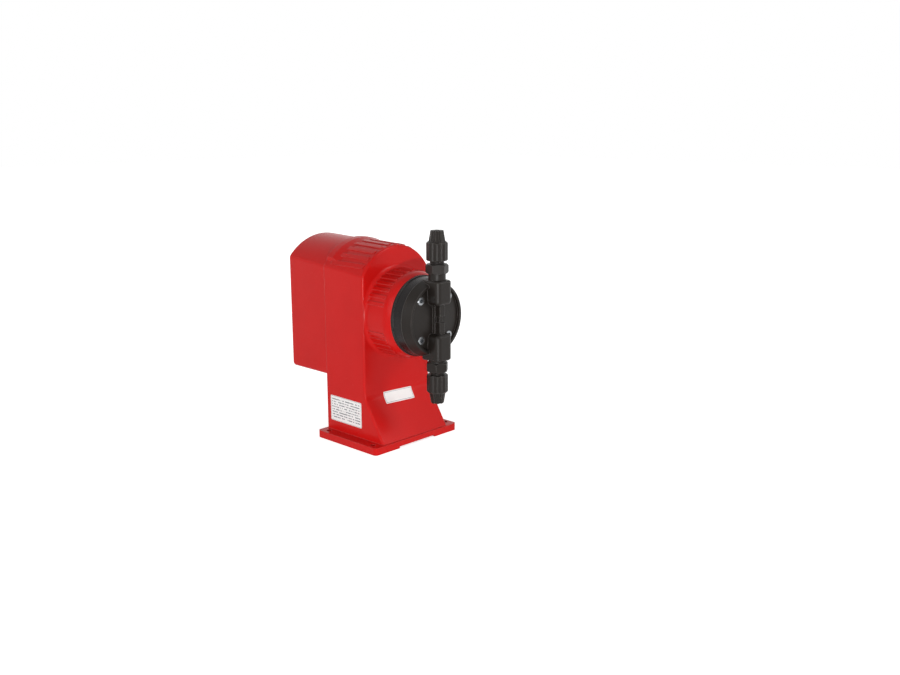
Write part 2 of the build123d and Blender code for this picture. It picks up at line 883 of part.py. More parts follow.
with BuildPart() as board_screws:
    with BuildSketch(facing_front(board_front_y)):
        with Locations(*board_screw_points):
            Circle(board_screw_radius)
    extrude(amount=-board_screw_length)
    with BuildSketch(facing_front(board_front_y)):
        with Locations(*board_screw_points):
            Circle(board_screw_head_radius)
    extrude(amount=board_screw_head_height)
export(board_screws, "board_screws")

with BuildPart() as transformer:
    with BuildSketch(facing_front(board_front_y)):
        with Locations((0, transformer_z)):
            Rectangle(transformer_yoke_width, transformer_height)
    extrude(amount=transformer_depth)
    with BuildSketch(facing_front(board_front_y)):
        with Locations((0, transformer_z)):
            RectangleRounded(transformer_width, transformer_coil_height, transformer_corner)
    extrude(amount=transformer_coil_depth)
export(transformer, "transformer")

with BuildPart() as capacitors:
    with BuildSketch(facing_front(board_front_y)):
        with Locations((0, capacitor_z)):
            with GridLocations(capacitor_pitch, 0, capacitor_count, 1):
                Circle(capacitor_radius)
    extrude(amount=capacitor_height)
export(capacitors, "capacitors")

with BuildPart() as terminal_block:
    with BuildSketch(facing_front(board_front_y)):
        with Locations((0, terminal_z)):
            Rectangle(terminal_width, terminal_height)
    extrude(amount=terminal_depth)
    with BuildSketch(facing_front(board_front_y - terminal_depth)):
        with Locations((0, terminal_z)):
            with GridLocations(terminal_pitch, 0, terminal_ways, 1):
                Circle(terminal_screw_radius)
    extrude(amount=-terminal_screw_sink, mode=Mode.SUBTRACT)
export(terminal_block, "terminal_block")

# ---------------------------------------------------------------- cable gland under the overhang
gland_y = rear_y - gland_setback
gland_flange_z = overhang_z - gland_flange
gland_mouth_z = gland_flange_z - gland_thread
gland_cap_top_z = gland_flange_z - gland_cap_gap
gland_cap_z = gland_cap_top_z - gland_cap
gland_thread_radius = gland_cap_radius - gland_cap_wall
with BuildPart() as gland_body:
    with BuildSketch(Plane.XY.offset(gland_flange_z)):
        with Locations((gland_x, gland_y)):
            RegularPolygon(gland_flats / 2, 6, major_radius=False)
    extrude(amount=gland_flange)
    with BuildSketch(Plane.XY.offset(gland_mouth_z)):
        with Locations((gland_x, gland_y)):
            Circle(gland_thread_radius)
    extrude(amount=gland_thread)
    with BuildSketch(Plane.XY.offset(overhang_z)):
        with Locations((gland_x, gland_y)):
            Circle(gland_radius)
    extrude(amount=wall + gland_locknut + gland_end)
    with BuildSketch(Plane.XY.offset(gland_mouth_z)):
        with Locations((gland_x, gland_y)):
            Circle(gland_bore_radius)
    extrude(amount=gland_thread + gland_flange + wall + gland_locknut + gland_end, mode=Mode.SUBTRACT)
    with BuildSketch(Plane.XY.offset(gland_mouth_z)):
        with Locations((gland_x, gland_y)):
            Circle(gland_seal_radius + slip)
    extrude(amount=gland_seal_height, mode=Mode.SUBTRACT)
export(gland_body, "gland_body")

with BuildPart() as gland_locknut_ring:
    with BuildSketch(Plane.XY.offset(overhang_z + wall)):
        with Locations((gland_x, gland_y)):
            RegularPolygon(gland_flats / 2, 6, major_radius=False)
            Circle(gland_radius + slip, mode=Mode.SUBTRACT)
    extrude(amount=gland_locknut)
export(gland_locknut_ring, "gland_locknut")

with BuildPart() as gland_seal:
    with BuildSketch(Plane.XY.offset(gland_mouth_z)):
        with Locations((gland_x, gland_y)):
            Circle(gland_seal_radius)
            Circle(gland_bore_radius, mode=Mode.SUBTRACT)
    extrude(amount=gland_seal_height)
export(gland_seal, "gland_seal")

gland_plane = Plane(origin=(gland_x, gland_y, gland_cap_z), x_dir=(1, 0, 0), z_dir=(0, -1, 0))
with BuildPart() as gland_nut:
    revolve(
        half_profile(gland_plane, [
            (gland_bore_radius, 0),
            (gland_cap_radius - gland_cap_dome, 0),
            (gland_cap_radius, gland_cap_dome),
            (gland_cap_radius, gland_cap),
            (gland_thread_radius + slip, gland_cap),
            (gland_thread_radius + slip, gland_mouth_z - gland_cap_z),
            (gland_bore_radius, gland_mouth_z - gland_cap_z),
        ]),
        axis=Axis((gland_x, gland_y, 0), (0, 0, 1)),
    )
    with BuildSketch(Plane.XY.offset(gland_cap_z + gland_cap_dome)):
        with Locations((gland_x, gland_y)):
            with PolarLocations(gland_cap_radius + gap, gland_ribs):
                Circle(gland_rib_radius)
    extrude(amount=gland_cap, mode=Mode.SUBTRACT)
export(gland_nut, "gland_nut")

# ---------------------------------------------------------------- solenoid drive
yoke_front = drive_bore_end
yoke_plate_back = yoke_front - yoke_front_plate
yoke_back = yoke_front - yoke_length
coil_front = yoke_plate_back - bobbin_wall
armature_front = core_end - air_gap
armature_back = armature_front - armature_thickness
bobbin_back = core_end + air_gap - bobbin_wall / 2
coil_back = bobbin_back + bobbin_wall
cup_radius = yoke_radius - yoke_wall

with BuildPart() as solenoid_yoke:
    revolve(
        half_profile(drive_plane, [
            (core_radius + slip, yoke_front),
            (yoke_radius, yoke_front),
            (yoke_radius, yoke_back),
            (cup_radius, yoke_back),
            (cup_radius, yoke_plate_back),
            (core_radius + slip, yoke_plate_back),
        ]),
        axis=drive_axis,
    )
    with BuildSketch(facing_front(front_y - yoke_front)):
        with Locations((0, head_z)):
            with PolarLocations(yoke_screw_circle, yoke_screw_count):
                Circle(yoke_screw_radius + slip)
    extrude(amount=-yoke_front_plate, mode=Mode.SUBTRACT)
export(solenoid_yoke, "solenoid_yoke")

pocket_floor = core_end + spring_pocket_depth
with BuildPart() as pole_core:
    revolve(
        half_profile(drive_plane, [
            (rod_hole_radius, yoke_front),
            (core_radius, yoke_front),
            (core_radius, core_end),
            (spring_pocket_radius, core_end),
            (spring_pocket_radius, pocket_floor),
            (rod_hole_radius, pocket_floor),
        ]),
        axis=drive_axis,
    )
export(pole_core, "pole_core")

bobbin_bore = core_radius + slip
bobbin_hub = bobbin_bore + bobbin_wall
bobbin_radius = cup_radius - slip
with BuildPart() as coil_bobbin:
    revolve(
        half_profile(drive_plane, [
            (bobbin_bore, yoke_plate_back),
            (bobbin_radius, yoke_plate_back),
            (bobbin_radius, coil_front),
            (bobbin_hub, coil_front),
            (bobbin_hub, coil_back),
            (bobbin_radius, coil_back),
            (bobbin_radius, bobbin_back),
            (bobbin_bore, bobbin_back),
        ]),
        axis=drive_axis,
    )
export(coil_bobbin, "coil_bobbin")

with BuildPart() as coil_winding:
    revolve(
        half_profile(drive_plane, [
            (bobbin_hub, coil_front),
            (coil_radius, coil_front),
            (coil_radius, coil_back),
            (bobbin_hub, coil_back),
        ]),
        axis=drive_axis,
    )
export(coil_winding, "coil_winding")

yoke_screw_seat = ring_end - yoke_screw_head_height - gap
with BuildPart() as yoke_screws:
    with BuildSketch(facing_front(front_y - yoke_screw_seat)):
        with Locations((0, head_z)):
            with PolarLocations(yoke_screw_circle, yoke_screw_count):
                Circle(yoke_screw_radius)
    extrude(amount=-(yoke_screw_seat - yoke_plate_back - gap))
    with BuildSketch(facing_front(front_y - yoke_screw_seat)):
        with Locations((0, head_z)):
            with PolarLocations(yoke_screw_circle, yoke_screw_count):
                Circle(yoke_screw_head_radius)
    extrude(amount=yoke_screw_head_height)
    with BuildSketch(facing_front(front_y - yoke_screw_seat - yoke_screw_head_height)):
        with Locations((0, head_z)):
            with PolarLocations(yoke_screw_circle, yoke_screw_count):
                RegularPolygon(yoke_screw_socket / 2, 6, major_radius=False)
    extrude(amount=-yoke_screw_head_height / 2, mode=Mode.SUBTRACT)
export(yoke_screws, "yoke_screws")

with BuildPart() as armature:
    revolve(
        half_profile(drive_plane, [
            (rod_stub_radius, armature_front),
            (armature_radius, armature_front),
            (armature_radius, armature_back),
            (rod_stub_radius, armature_back),
        ]),
        axis=drive_axis,
    )
export(armature, "armature")

rod_front = joint_depth - insert_thickness
with BuildPart() as push_rod:
    revolve(
        half_profile(drive_plane, [
            (0, rod_front),
            (rod_radius, rod_front),
            (rod_radius, armature_front),
            (rod_stub_radius, armature_front),
            (rod_stub_radius, armature_back),
            (0, armature_back),
        ]),
        axis=drive_axis,
    )
export(push_rod, "push_rod")

with BuildPart() as return_spring:
    spring_pitch = (pocket_floor - armature_front - 2 * spring_wire_radius) / spring_turns
    with BuildLine():
        coil_path = Helix(
            pitch=spring_pitch,
            height=spring_pitch * spring_turns,
            radius=spring_mean_radius,
            center=(0, front_y - pocket_floor + spring_wire_radius, head_z),
            direction=(0, 1, 0),
        )
    with BuildSketch(Plane(origin=coil_path @ 0, z_dir=coil_path % 0)):
        Circle(spring_wire_radius)
    sweep()
export(return_spring, "return_spring")

# ---------------------------------------------------------------- liquid end
spigot_radius = front_bore_radius - 2 * slip
spigot_back = ring_end - spigot_length
guide_back = joint_depth - insert_thickness - slip - dish_shelf - guide_length
dish_floor = joint_depth - insert_thickness - slip
with BuildPart() as back_flange:
    revolve(
        half_profile(drive_plane, [
            (rod_hole_radius, spigot_back),
            (spigot_radius, spigot_back),
            (spigot_radius, ring_end),
            (flange_radius, ring_end),
            (flange_radius, ring_end + flange_rim),
            (flange_step_radius, ring_end + flange_rim + gap),
            (joint_radius, joint_depth),
            (chamber_radius, joint_depth),
            (chamber_radius, dish_floor - dish_shelf),
            (guide_radius, dish_floor - dish_shelf),
            (guide_radius, guide_back),
            (rod_hole_radius, guide_back),
        ]),
        axis=drive_axis,
    )
    with BuildSketch(facing_front(front_y - joint_depth)):
        with Locations(*head_screw_points):
            Circle(head_screw_radius + slip)
    extrude(amount=-(joint_depth - ring_end), mode=Mode.SUBTRACT)
export(back_flange, "back_flange")

with BuildPart() as guide_bush:
    revolve(
        half_profile(drive_plane, [
            (rod_radius + slip, guide_back),
            (guide_radius - slip / 2, guide_back),
            (guide_radius - slip / 2, guide_back + guide_length),
            (rod_radius + slip, guide_back + guide_length),
        ]),
        axis=drive_axis,
    )
export(guide_bush, "guide_bush")

with BuildPart() as diaphragm_plate:
    revolve(
        half_profile(drive_plane, [
            (0, rod_front),
            (insert_radius, rod_front),
            (insert_radius, joint_depth),
            (0, joint_depth),
        ]),
        axis=drive_axis,
    )
export(diaphragm_plate, "diaphragm_plate")

chamber_floor = joint_depth + diaphragm_thickness
with BuildPart() as diaphragm:
    revolve(
        half_profile(drive_plane, [
            (0, joint_depth),
            (diaphragm_radius, joint_depth),
            (diaphragm_radius, chamber_floor),
            (0, chamber_floor),
        ]),
        axis=drive_axis,
    )
export(diaphragm, "diaphragm")

with BuildPart() as valve_tower:
    with BuildSketch(Plane.XY.offset(head_z - suction_tower_end)):
        with Locations((0, front_y - (joint_depth + tower_front) / 2)):
            Rectangle(2 * tower_half_width, tower_front - joint_depth)
    extrude(amount=suction_tower_end - tower_foot)
    with BuildSketch(Plane.XY.offset(head_z + tower_foot)):
        with Locations((0, front_y - (joint_depth + tower_front) / 2)):
            Rectangle(2 * tower_half_width, tower_front - joint_depth)
    extrude(amount=discharge_tower_end - tower_foot)
    front_posts = valve_tower.edges().filter_by(Axis.Z).filter_by_position(
        Axis.Y, front_y - tower_front - gap, front_y - tower_front + gap
    )
    fillet(front_posts, tower_corner)
    shoulders = valve_tower.edges().filter_by(
        lambda edge: abs(abs(edge.center().Z - head_z) - tower_foot) < gap
        and edge.bounding_box().min.Y < front_y - joint_depth - gap
    )
    fillet(shoulders, tower_shoulder)
    tower_ends = valve_tower.edges().filter_by(
        lambda edge: edge.center().Y < front_y - joint_depth - gap
        and (
            abs(edge.center().Z - head_z - discharge_tower_end) < gap
            or abs(edge.center().Z - head_z + suction_tower_end) < gap
        )
    )
    chamfer(tower_ends, tower_end_chamfer)

with BuildPart() as waist:
    with BuildSketch(Plane.XY.offset(head_z)):
        with Locations((0, front_y - (joint_depth + waist_front) / 2)):
            Rectangle(2 * waist_half_width, waist_front - joint_depth)
    extrude(amount=waist_end + tower_shoulder, both=True)
    with BuildSketch(Plane.XY.offset(head_z)):
        with Locations((0, front_y - (joint_depth + waist_front) / 2)):
            Rectangle(2 * waist_half_width, waist_front - joint_depth)
    extrude(amount=waist_start, both=True, mode=Mode.SUBTRACT)
    waist_corners = waist.edges().filter_by_position(
        Axis.Y, front_y - waist_front - gap, front_y - waist_front + gap
    ).filter_by(lambda edge: abs(edge.center().Z - head_z) < waist_end + tower_shoulder - gap)
    fillet(waist_corners, waist_corner)
    with BuildSketch(Plane.XY.offset(head_z)):
        with Locations((0, front_y - (joint_depth + neck_front) / 2)):
            Rectangle(2 * neck_half_width, neck_front - joint_depth)
    extrude(amount=waist_start + waist_corner, both=True)
    with BuildSketch(Plane.XY.offset(head_z)):
        with Locations((0, front_y - (joint_depth + web_front) / 2)):
            Rectangle(2 * web_half_width, web_front - joint_depth)
    extrude(amount=waist_end + tower_shoulder, both=True)

with BuildPart() as pump_head:
    revolve(
        half_profile(drive_plane, [
            (0, joint_depth),
            (joint_radius, joint_depth),
            (joint_radius - gap, joint_depth + 2 * gap),
            (head_radius, head_depth),
            (head_radius - lip_width, head_depth),
            (head_radius - lip_width, head_depth - recess_depth),
            (hub_radius, head_depth - recess_depth + hub_rise),
            (0, head_depth - recess_depth + hub_rise),
        ]),
        axis=drive_axis,
    )
    lip_edges = pump_head.edges().filter_by(GeomType.CIRCLE).filter_by_position(
        Axis.Y, front_y - head_depth - gap, front_y - head_depth + gap
    )
    fillet(lip_edges, edge_blend)
    add(valve_tower.part)
    add(waist.part)
    # diaphragm recess and pump chamber
    revolve(
        half_profile(drive_plane, [
            (0, joint_depth),
            (diaphragm_radius + slip, joint_depth),
            (diaphragm_radius + slip, chamber_floor),
            (chamber_radius, chamber_floor),
            (chamber_radius - chamber_depth, chamber_floor + chamber_depth),
            (0, chamber_floor + chamber_depth),
        ]),
        axis=drive_axis,
        mode=Mode.SUBTRACT,
    )
    # valve bores from both ends of the tower, and the passages into the chamber
    with BuildSketch(Plane.XY.offset(head_z + valve_bore_floor)):
        with Locations((0, valve_y)):
            Circle(valve_bore_radius)
    extrude(amount=discharge_tower_end, mode=Mode.SUBTRACT)
    with BuildSketch(Plane.XY.offset(head_z - valve_bore_floor)):
        with Locations((0, valve_y)):
            Circle(valve_bore_radius)
    extrude(amount=-suction_tower_end, mode=Mode.SUBTRACT)
    for side in (1, -1):
        with BuildSketch(Plane.XY.offset(head_z + side * passage_height)):
            with Locations((0, valve_y)):
                Circle(passage_radius)
        extrude(amount=side * (valve_bore_floor - passage_height), mode=Mode.SUBTRACT)
        with BuildSketch(facing_front(front_y - chamber_floor)):
            with Locations((0, head_z + side * passage_height)):
                Circle(passage_radius)
        extrude(amount=valve_reach - chamber_floor, mode=Mode.SUBTRACT)
    # sunk seats and clearance holes for the head screws
    with BuildSketch(facing_front(front_y - head_depth)):
        with Locations(*head_screw_points):
            Circle(head_screw_head_radius + gap)
    extrude(amount=-(head_depth - head_screw_seat), mode=Mode.SUBTRACT)
    with BuildSketch(facing_front(front_y - head_depth)):
        with Locations(*head_screw_points):
            Circle(head_screw_radius + slip)
    extrude(amount=-(head_depth - joint_depth), mode=Mode.SUBTRACT)
export(pump_head, "pump_head")

with BuildPart() as head_screws:
    with BuildSketch(facing_front(front_y - head_screw_seat)):
        with Locations(*head_screw_points):
            Circle(head_screw_radius)
    extrude(amount=-head_screw_length)
    with BuildSketch(facing_front(front_y - head_screw_seat)):
        with Locations(*head_screw_points):
            Circle(head_screw_head_radius)
    extrude(amount=head_screw_head_height)
    head_rims = head_screws.edges().filter_by(GeomType.CIRCLE).filter_by_position(
        Axis.Y,
        front_y - head_screw_seat - head_screw_head_height - gap,
        front_y - head_screw_seat - head_screw_head_height + gap,
    )
    chamfer(head_rims, gap)
    with BuildSketch(facing_front(front_y - head_screw_seat - head_screw_head_height)):
        with Locations(*head_screw_points):
            RegularPolygon(head_screw_socket / 2, 6, major_radius=False)
    extrude(amount=-head_screw_head_height / 2, mode=Mode.SUBTRACT)
export(head_screws, "head_screws")


# ---------------------------------------------------------------- valve unions, hose nuts and check valves
def valve_plane(side):
    """Plane through the valve axis: local x is X, local y runs outward, up for side 1 and down for side -1."""
    return Plane(origin=(0, valve_y, head_z), x_dir=(1, 0, 0), z_dir=(0, -side, 0))


def across(side, height):
    """Plane square to the valve axis, height mm out from the pump axis, with its normal outward."""
    return Plane(origin=(0, valve_y, head_z + side * height), x_dir=(1, 0, 0), z_dir=(0, 0, side))


valve_axis = Axis((0, valve_y, head_z), (0, 0, 1))
spigot_end = valve_bore_floor + seal_thickness


def union_body(side, tower_end, hex_start):
    """Valve union: a spigot in the head, a collar, a hexagon, a thread and a hose nozzle, bored for the valve."""
    hex_end = hex_start + union_hex_height
    thread_end = hex_end + union_thread
    with BuildPart() as body:
        revolve(
            half_profile(valve_plane(side), [
                (union_bore_radius, spigot_end),
                (valve_bore_radius - slip, spigot_end),
                (valve_bore_radius - slip, tower_end),
                (union_neck_radius, tower_end),
                (union_neck_radius, hex_start + gap),
                (union_thread_radius, hex_start + gap),
                (union_thread_radius, thread_end),
                (nozzle_root_radius, thread_end),
                (nozzle_tip_radius, thread_end + nozzle_length),
                (union_bore_radius, thread_end + nozzle_length),
            ]),
            axis=valve_axis,
        )
        corner_radius = union_hex_flats / math.sqrt(3)
        hex_envelope = revolve(
            half_profile(valve_plane(side), [
                (0, hex_start),
                (corner_radius - union_hex_chamfer, hex_start),
                (corner_radius, hex_start + union_hex_chamfer),
                (corner_radius, hex_end - union_hex_chamfer),
                (corner_radius - union_hex_chamfer, hex_end),
                (0, hex_end),
            ]),
            axis=valve_axis,
            mode=Mode.PRIVATE,
        )
        with BuildSketch(across(side, hex_start), mode=Mode.PRIVATE) as hexagon:
            RegularPolygon(union_hex_flats / 2, 6, major_radius=False, rotation=union_hex_turn)
        add(extrude(hexagon.sketch, amount=union_hex_height, mode=Mode.PRIVATE) & hex_envelope)
        with BuildSketch(across(side, spigot_end)):
            Circle(union_bore_radius)
        extrude(amount=thread_end + nozzle_length - spigot_end, mode=Mode.SUBTRACT)
        with BuildSketch(across(side, spigot_end)):
            Circle(cartridge_radius)
        extrude(amount=cartridge_depth, mode=Mode.SUBTRACT)
    return body.part


def nut_body(side, hex_start):
    """Hose nut: an eight-lobed barrel under a fluted cone, threaded inside and open at the end for the hose."""
    start = hex_start + union_hex_height + nut_lift
    barrel_end = start + nut_height
    cone_end = barrel_end + cone_height
    with BuildPart() as body:
        envelope = revolve(
            half_profile(valve_plane(side), [
                (0, start),
                (nut_radius - edge_blend, start),
                (nut_radius, start + edge_blend),
                (nut_radius, barrel_end - nut_chamfer),
                (nut_radius - nut_chamfer, barrel_end),
                (0, barrel_end),
            ]),
            axis=valve_axis,
            mode=Mode.PRIVATE,
        )
        with BuildSketch(across(side, start), mode=Mode.PRIVATE) as outline:
            Circle(nut_core_radius)
            with PolarLocations(nut_radius - nut_lobe_radius, nut_lobes):
                Circle(nut_lobe_radius)
        add(extrude(outline.sketch, amount=nut_height, mode=Mode.PRIVATE) & envelope)
        revolve(
            half_profile(valve_plane(side), [
                (0, barrel_end - gap),
                (cone_base_radius, barrel_end - gap),
                (cone_base_radius, barrel_end),
                (cone_tip_radius, cone_end),
                (0, cone_end),
            ]),
            axis=valve_axis,
        )
        for index in range(nut_lobes):
            turn = (index + 0.5) * 360 / nut_lobes
            with BuildSketch(across(side, barrel_end).rotated((0, 0, turn)), mode=Mode.PRIVATE) as groove_base:
                with Locations((cone_base_radius, 0)):
                    Rectangle(2 * cone_groove_depth, cone_groove_width)
            with BuildSketch(across(side, cone_end).rotated((0, 0, turn)), mode=Mode.PRIVATE) as groove_tip:
                with Locations((cone_tip_radius, 0)):
                    Rectangle(2 * cone_groove_depth, cone_groove_width)
            loft([groove_base.sketch, groove_tip.sketch], ruled=True, mode=Mode.SUBTRACT)
        revolve(
            half_profile(valve_plane(side), [
                (0, start - gap),
                (union_thread_radius + slip, start - gap),
                (union_thread_radius + slip, start + nut_cavity_height),
                (tube_radius, start + nut_cavity_height + nut_funnel_height),
                (tube_radius, cone_end + gap),
                (0, cone_end + gap),
            ]),
            axis=valve_axis,
            mode=Mode.SUBTRACT,
        )
    return body.part


def ferrule_body(side, hex_start):
    """Clamp ring inside a hose nut, round the union's nozzle."""
    base = hex_start + union_hex_height + union_thread
    return revolve(
        half_profile(valve_plane(side), [
            (ferrule_bore_radius, base),
            (ferrule_radius, base),
            (ferrule_radius, base + ferrule_height - ferrule_chamfer),
            (ferrule_radius - ferrule_chamfer, base + ferrule_height),
            (ferrule_bore_radius, base + ferrule_height),
        ]),
        axis=valve_axis,
    )


def seal_body(side):
    """Flat ring between a union's spigot and the floor of its bore."""
    return revolve(
        half_profile(valve_plane(side), [
            (seal_bore_radius, valve_bore_floor),
            (seal_radius, valve_bore_floor),
            (seal_radius, spigot_end),
            (seal_bore_radius, spigot_end),
        ]),
        axis=valve_axis,
    )


def seat_body(base_z):
    """Valve seat ring standing on base_z."""
    return revolve(
        half_profile(valve_plane(1), [
            (seat_bore_radius, base_z),
            (cartridge_radius - slip, base_z),
            (cartridge_radius - slip, base_z + seat_height),
            (seat_bore_radius, base_z + seat_height),
        ]),
        axis=valve_axis,
    )


def ball_body(base_z):
    """Valve ball a hair above the edge of the seat that stands on base_z."""
    rest = math.sqrt(ball_radius**2 - seat_bore_radius**2) + ball_clearance
    with BuildPart() as body:
        with Locations((0, valve_y, head_z + base_z + seat_height + rest)):
            Sphere(ball_radius)
    return body.part


def cage_body(base_z):
    """Cage over the seat: guides the ball and stops it under a plate with ports."""
    floor = base_z + seat_height
    roof = base_z + cartridge_depth
    rest = math.sqrt(ball_radius**2 - seat_bore_radius**2) + ball_clearance
    plate = floor + rest + ball_radius + ball_lift + ball_clearance
    with BuildPart() as body:
        revolve(
            half_profile(valve_plane(1), [
                (0, plate),
                (cage_bore_radius, plate),
                (cage_bore_radius, floor),
                (cartridge_radius - slip, floor),
                (cartridge_radius - slip, roof),
                (0, roof),
            ]),
            axis=valve_axis,
        )
        with BuildSketch(across(1, plate)):
            with PolarLocations(cage_port_circle, cage_ports):
                Circle(cage_port_radius)
        extrude(amount=roof - plate, mode=Mode.SUBTRACT)
    return body.part


discharge_seat_z = spigot_end
suction_seat_z = -spigot_end - cartridge_depth

with BuildPart() as discharge_seal:
    add(seal_body(1))
export(discharge_seal, "discharge_seal")

with BuildPart() as discharge_union:
    add(union_body(1, discharge_tower_end, discharge_hex_start))
export(discharge_union, "discharge_union")

with BuildPart() as discharge_seat:
    add(seat_body(discharge_seat_z))
export(discharge_seat, "discharge_seat")

with BuildPart() as discharge_ball:
    add(ball_body(discharge_seat_z))
export(discharge_ball, "discharge_ball")

with BuildPart() as discharge_cage:
    add(cage_body(discharge_seat_z))
export(discharge_cage, "discharge_cage")

with BuildPart() as discharge_ferrule:
    add(ferrule_body(1, discharge_hex_start))
export(discharge_ferrule, "discharge_ferrule")

with BuildPart() as discharge_nut:
    add(nut_body(1, discharge_hex_start))
export(discharge_nut, "discharge_nut")

with BuildPart() as suction_seal:
    add(seal_body(-1))
export(suction_seal, "suction_seal")

with BuildPart() as suction_union:
    add(union_body(-1, suction_tower_end, suction_hex_start))
export(suction_union, "suction_union")

with BuildPart() as suction_seat:
    add(seat_body(suction_seat_z))
export(suction_seat, "suction_seat")

with BuildPart() as suction_ball:
    add(ball_body(suction_seat_z))
export(suction_ball, "suction_ball")

with BuildPart() as suction_cage:
    add(cage_body(suction_seat_z))
export(suction_cage, "suction_cage")

with BuildPart() as suction_ferrule:
    add(ferrule_body(-1, suction_hex_start))
export(suction_ferrule, "suction_ferrule")

with BuildPart() as suction_nut:
    add(nut_body(-1, suction_hex_start))
export(suction_nut, "suction_nut")
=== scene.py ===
"""Looks of a solenoid diaphragm metering pump: finishes, labels, dial, threads and the studio it stands in.

Laid out as an add-on: property groups hold the sizes and colours, each operator makes one group of pieces,
and a panel lists them.
"""

import math

import bmesh
import bpy
from bpy.props import FloatProperty, FloatVectorProperty, IntProperty, PointerProperty, StringProperty
from bpy.types import Operator, Panel, PropertyGroup
from mathutils import Matrix, Vector
from mathutils.bvhtree import BVHTree


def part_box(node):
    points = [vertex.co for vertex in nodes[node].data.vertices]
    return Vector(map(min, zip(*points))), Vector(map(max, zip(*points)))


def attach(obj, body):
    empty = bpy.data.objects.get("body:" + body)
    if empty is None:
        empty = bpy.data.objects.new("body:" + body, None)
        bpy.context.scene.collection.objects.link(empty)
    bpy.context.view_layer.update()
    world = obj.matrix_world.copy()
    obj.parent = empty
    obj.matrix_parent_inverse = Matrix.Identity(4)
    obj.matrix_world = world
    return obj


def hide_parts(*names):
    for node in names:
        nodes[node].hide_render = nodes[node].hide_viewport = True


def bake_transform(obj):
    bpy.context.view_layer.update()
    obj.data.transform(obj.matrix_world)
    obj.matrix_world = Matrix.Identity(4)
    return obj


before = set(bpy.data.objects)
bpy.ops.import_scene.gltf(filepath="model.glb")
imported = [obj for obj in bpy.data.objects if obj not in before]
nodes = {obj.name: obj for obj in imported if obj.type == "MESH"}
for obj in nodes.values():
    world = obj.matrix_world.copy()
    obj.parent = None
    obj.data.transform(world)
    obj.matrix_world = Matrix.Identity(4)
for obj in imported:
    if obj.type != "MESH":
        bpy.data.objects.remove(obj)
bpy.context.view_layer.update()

bl_info = {
    "name": "Metering Pump Looks",
    "version": (1, 0, 0),
    "blender": (4, 5, 0),
    "location": "View3D > Sidebar > Pump",
    "description": "Finishes, labels and studio for a diaphragm metering pump",
    "category": "Object",
}

MM = 0.001
MERGE_REACH = 0.001 * MM    # points nearer than this are one point
INK_LIFT = 0.03 * MM        # from a wall to the middle of a mark printed on it: half the mark's thickness
FILM_FACE = 0.12 * MM       # from a wall to the outer face of a label on it


# ---------------------------------------------------------------- shared helpers
def linear(code):
    """Linear RGBA of an sRGB hex code such as "BE2D29"."""
    parts = [int(code[i:i + 2], 16) / 255 for i in (0, 2, 4)]
    return tuple(c / 12.92 if c <= 0.04045 else ((c + 0.055) / 1.055) ** 2.4 for c in parts) + (1.0,)


def add(tree, kind, links=None, **settings):
    """Add a node to a tree.

    links maps a socket to a value or to another node's output, and settings are the node's attributes.
    """
    made = tree.nodes.new(kind)
    for key, value in settings.items():
        setattr(made, key, value)
    for key, value in (links or {}).items():
        socket = made.inputs[key]
        if isinstance(value, bpy.types.NodeSocket):
            tree.links.new(value, socket)
        else:
            socket.default_value = value
    return made


def blank_material(name):
    """A material with an empty node tree and its output node."""
    made = bpy.data.materials.new(name)
    made.use_nodes = True
    made.node_tree.nodes.clear()
    return made, made.node_tree, made.node_tree.nodes.new("ShaderNodeOutputMaterial")


def paint(material, *names):
    """Give CAD nodes one material."""
    for name in names:
        slots = nodes[name].data.materials
        slots.clear()
        slots.append(material)


def placed_mesh(name, form, material):
    """A new object at the origin, of one material, from a bmesh, which is freed."""
    mesh = bpy.data.meshes.new(name)
    form.to_mesh(mesh)
    form.free()
    mesh.materials.append(material)
    made = bpy.data.objects.new(name, mesh)
    bpy.context.scene.collection.objects.link(made)
    return made


def grown(name, tree, **values):
    """An object whose mesh a Geometry Nodes tree makes from named values. The modifier is gone afterwards."""
    made = bpy.data.objects.new(name, bpy.data.meshes.new(name + "_seed"))
    bpy.context.scene.collection.objects.link(made)
    modifier = made.modifiers.new("shape", "NODES")
    modifier.node_group = tree
    for socket in tree.interface.items_tree:
        if socket.in_out == "INPUT" and socket.name in values:
            modifier[socket.identifier] = values[socket.name]
    mesh = bpy.data.meshes.new_from_object(made.evaluated_get(bpy.context.evaluated_depsgraph_get()))
    made.modifiers.clear()
    made.data = mesh
    return made


def belong(piece, body):
    """Say which body a piece moves with."""
    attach(piece, body)


# ---------------------------------------------------------------- shapes
def flexing_spring(name, node, material):
    """Stands the CAD spring's own form, with its doubled points merged, in for it.
    """
    form = bmesh.new()
    form.from_mesh(nodes[node].data)
    bmesh.ops.remove_doubles(form, verts=form.verts, dist=MERGE_REACH)
    spring = placed_mesh(name, form, material)
    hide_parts(node)
    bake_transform(spring)


def round_off(spot, half, corner):
    """A point of a rectangle's grid, with the square at each corner mapped onto a quarter disc."""
    past = Vector((abs(spot.x) - half.x + corner, abs(spot.y) - half.y + corner))
    if past.x <= 0 or past.y <= 0:
        return spot
    past *= max(past) / past.length
    return Vector((math.copysign(half.x - corner + past.x, spot.x),
                   math.copysign(half.y - corner + past.y, spot.y)))


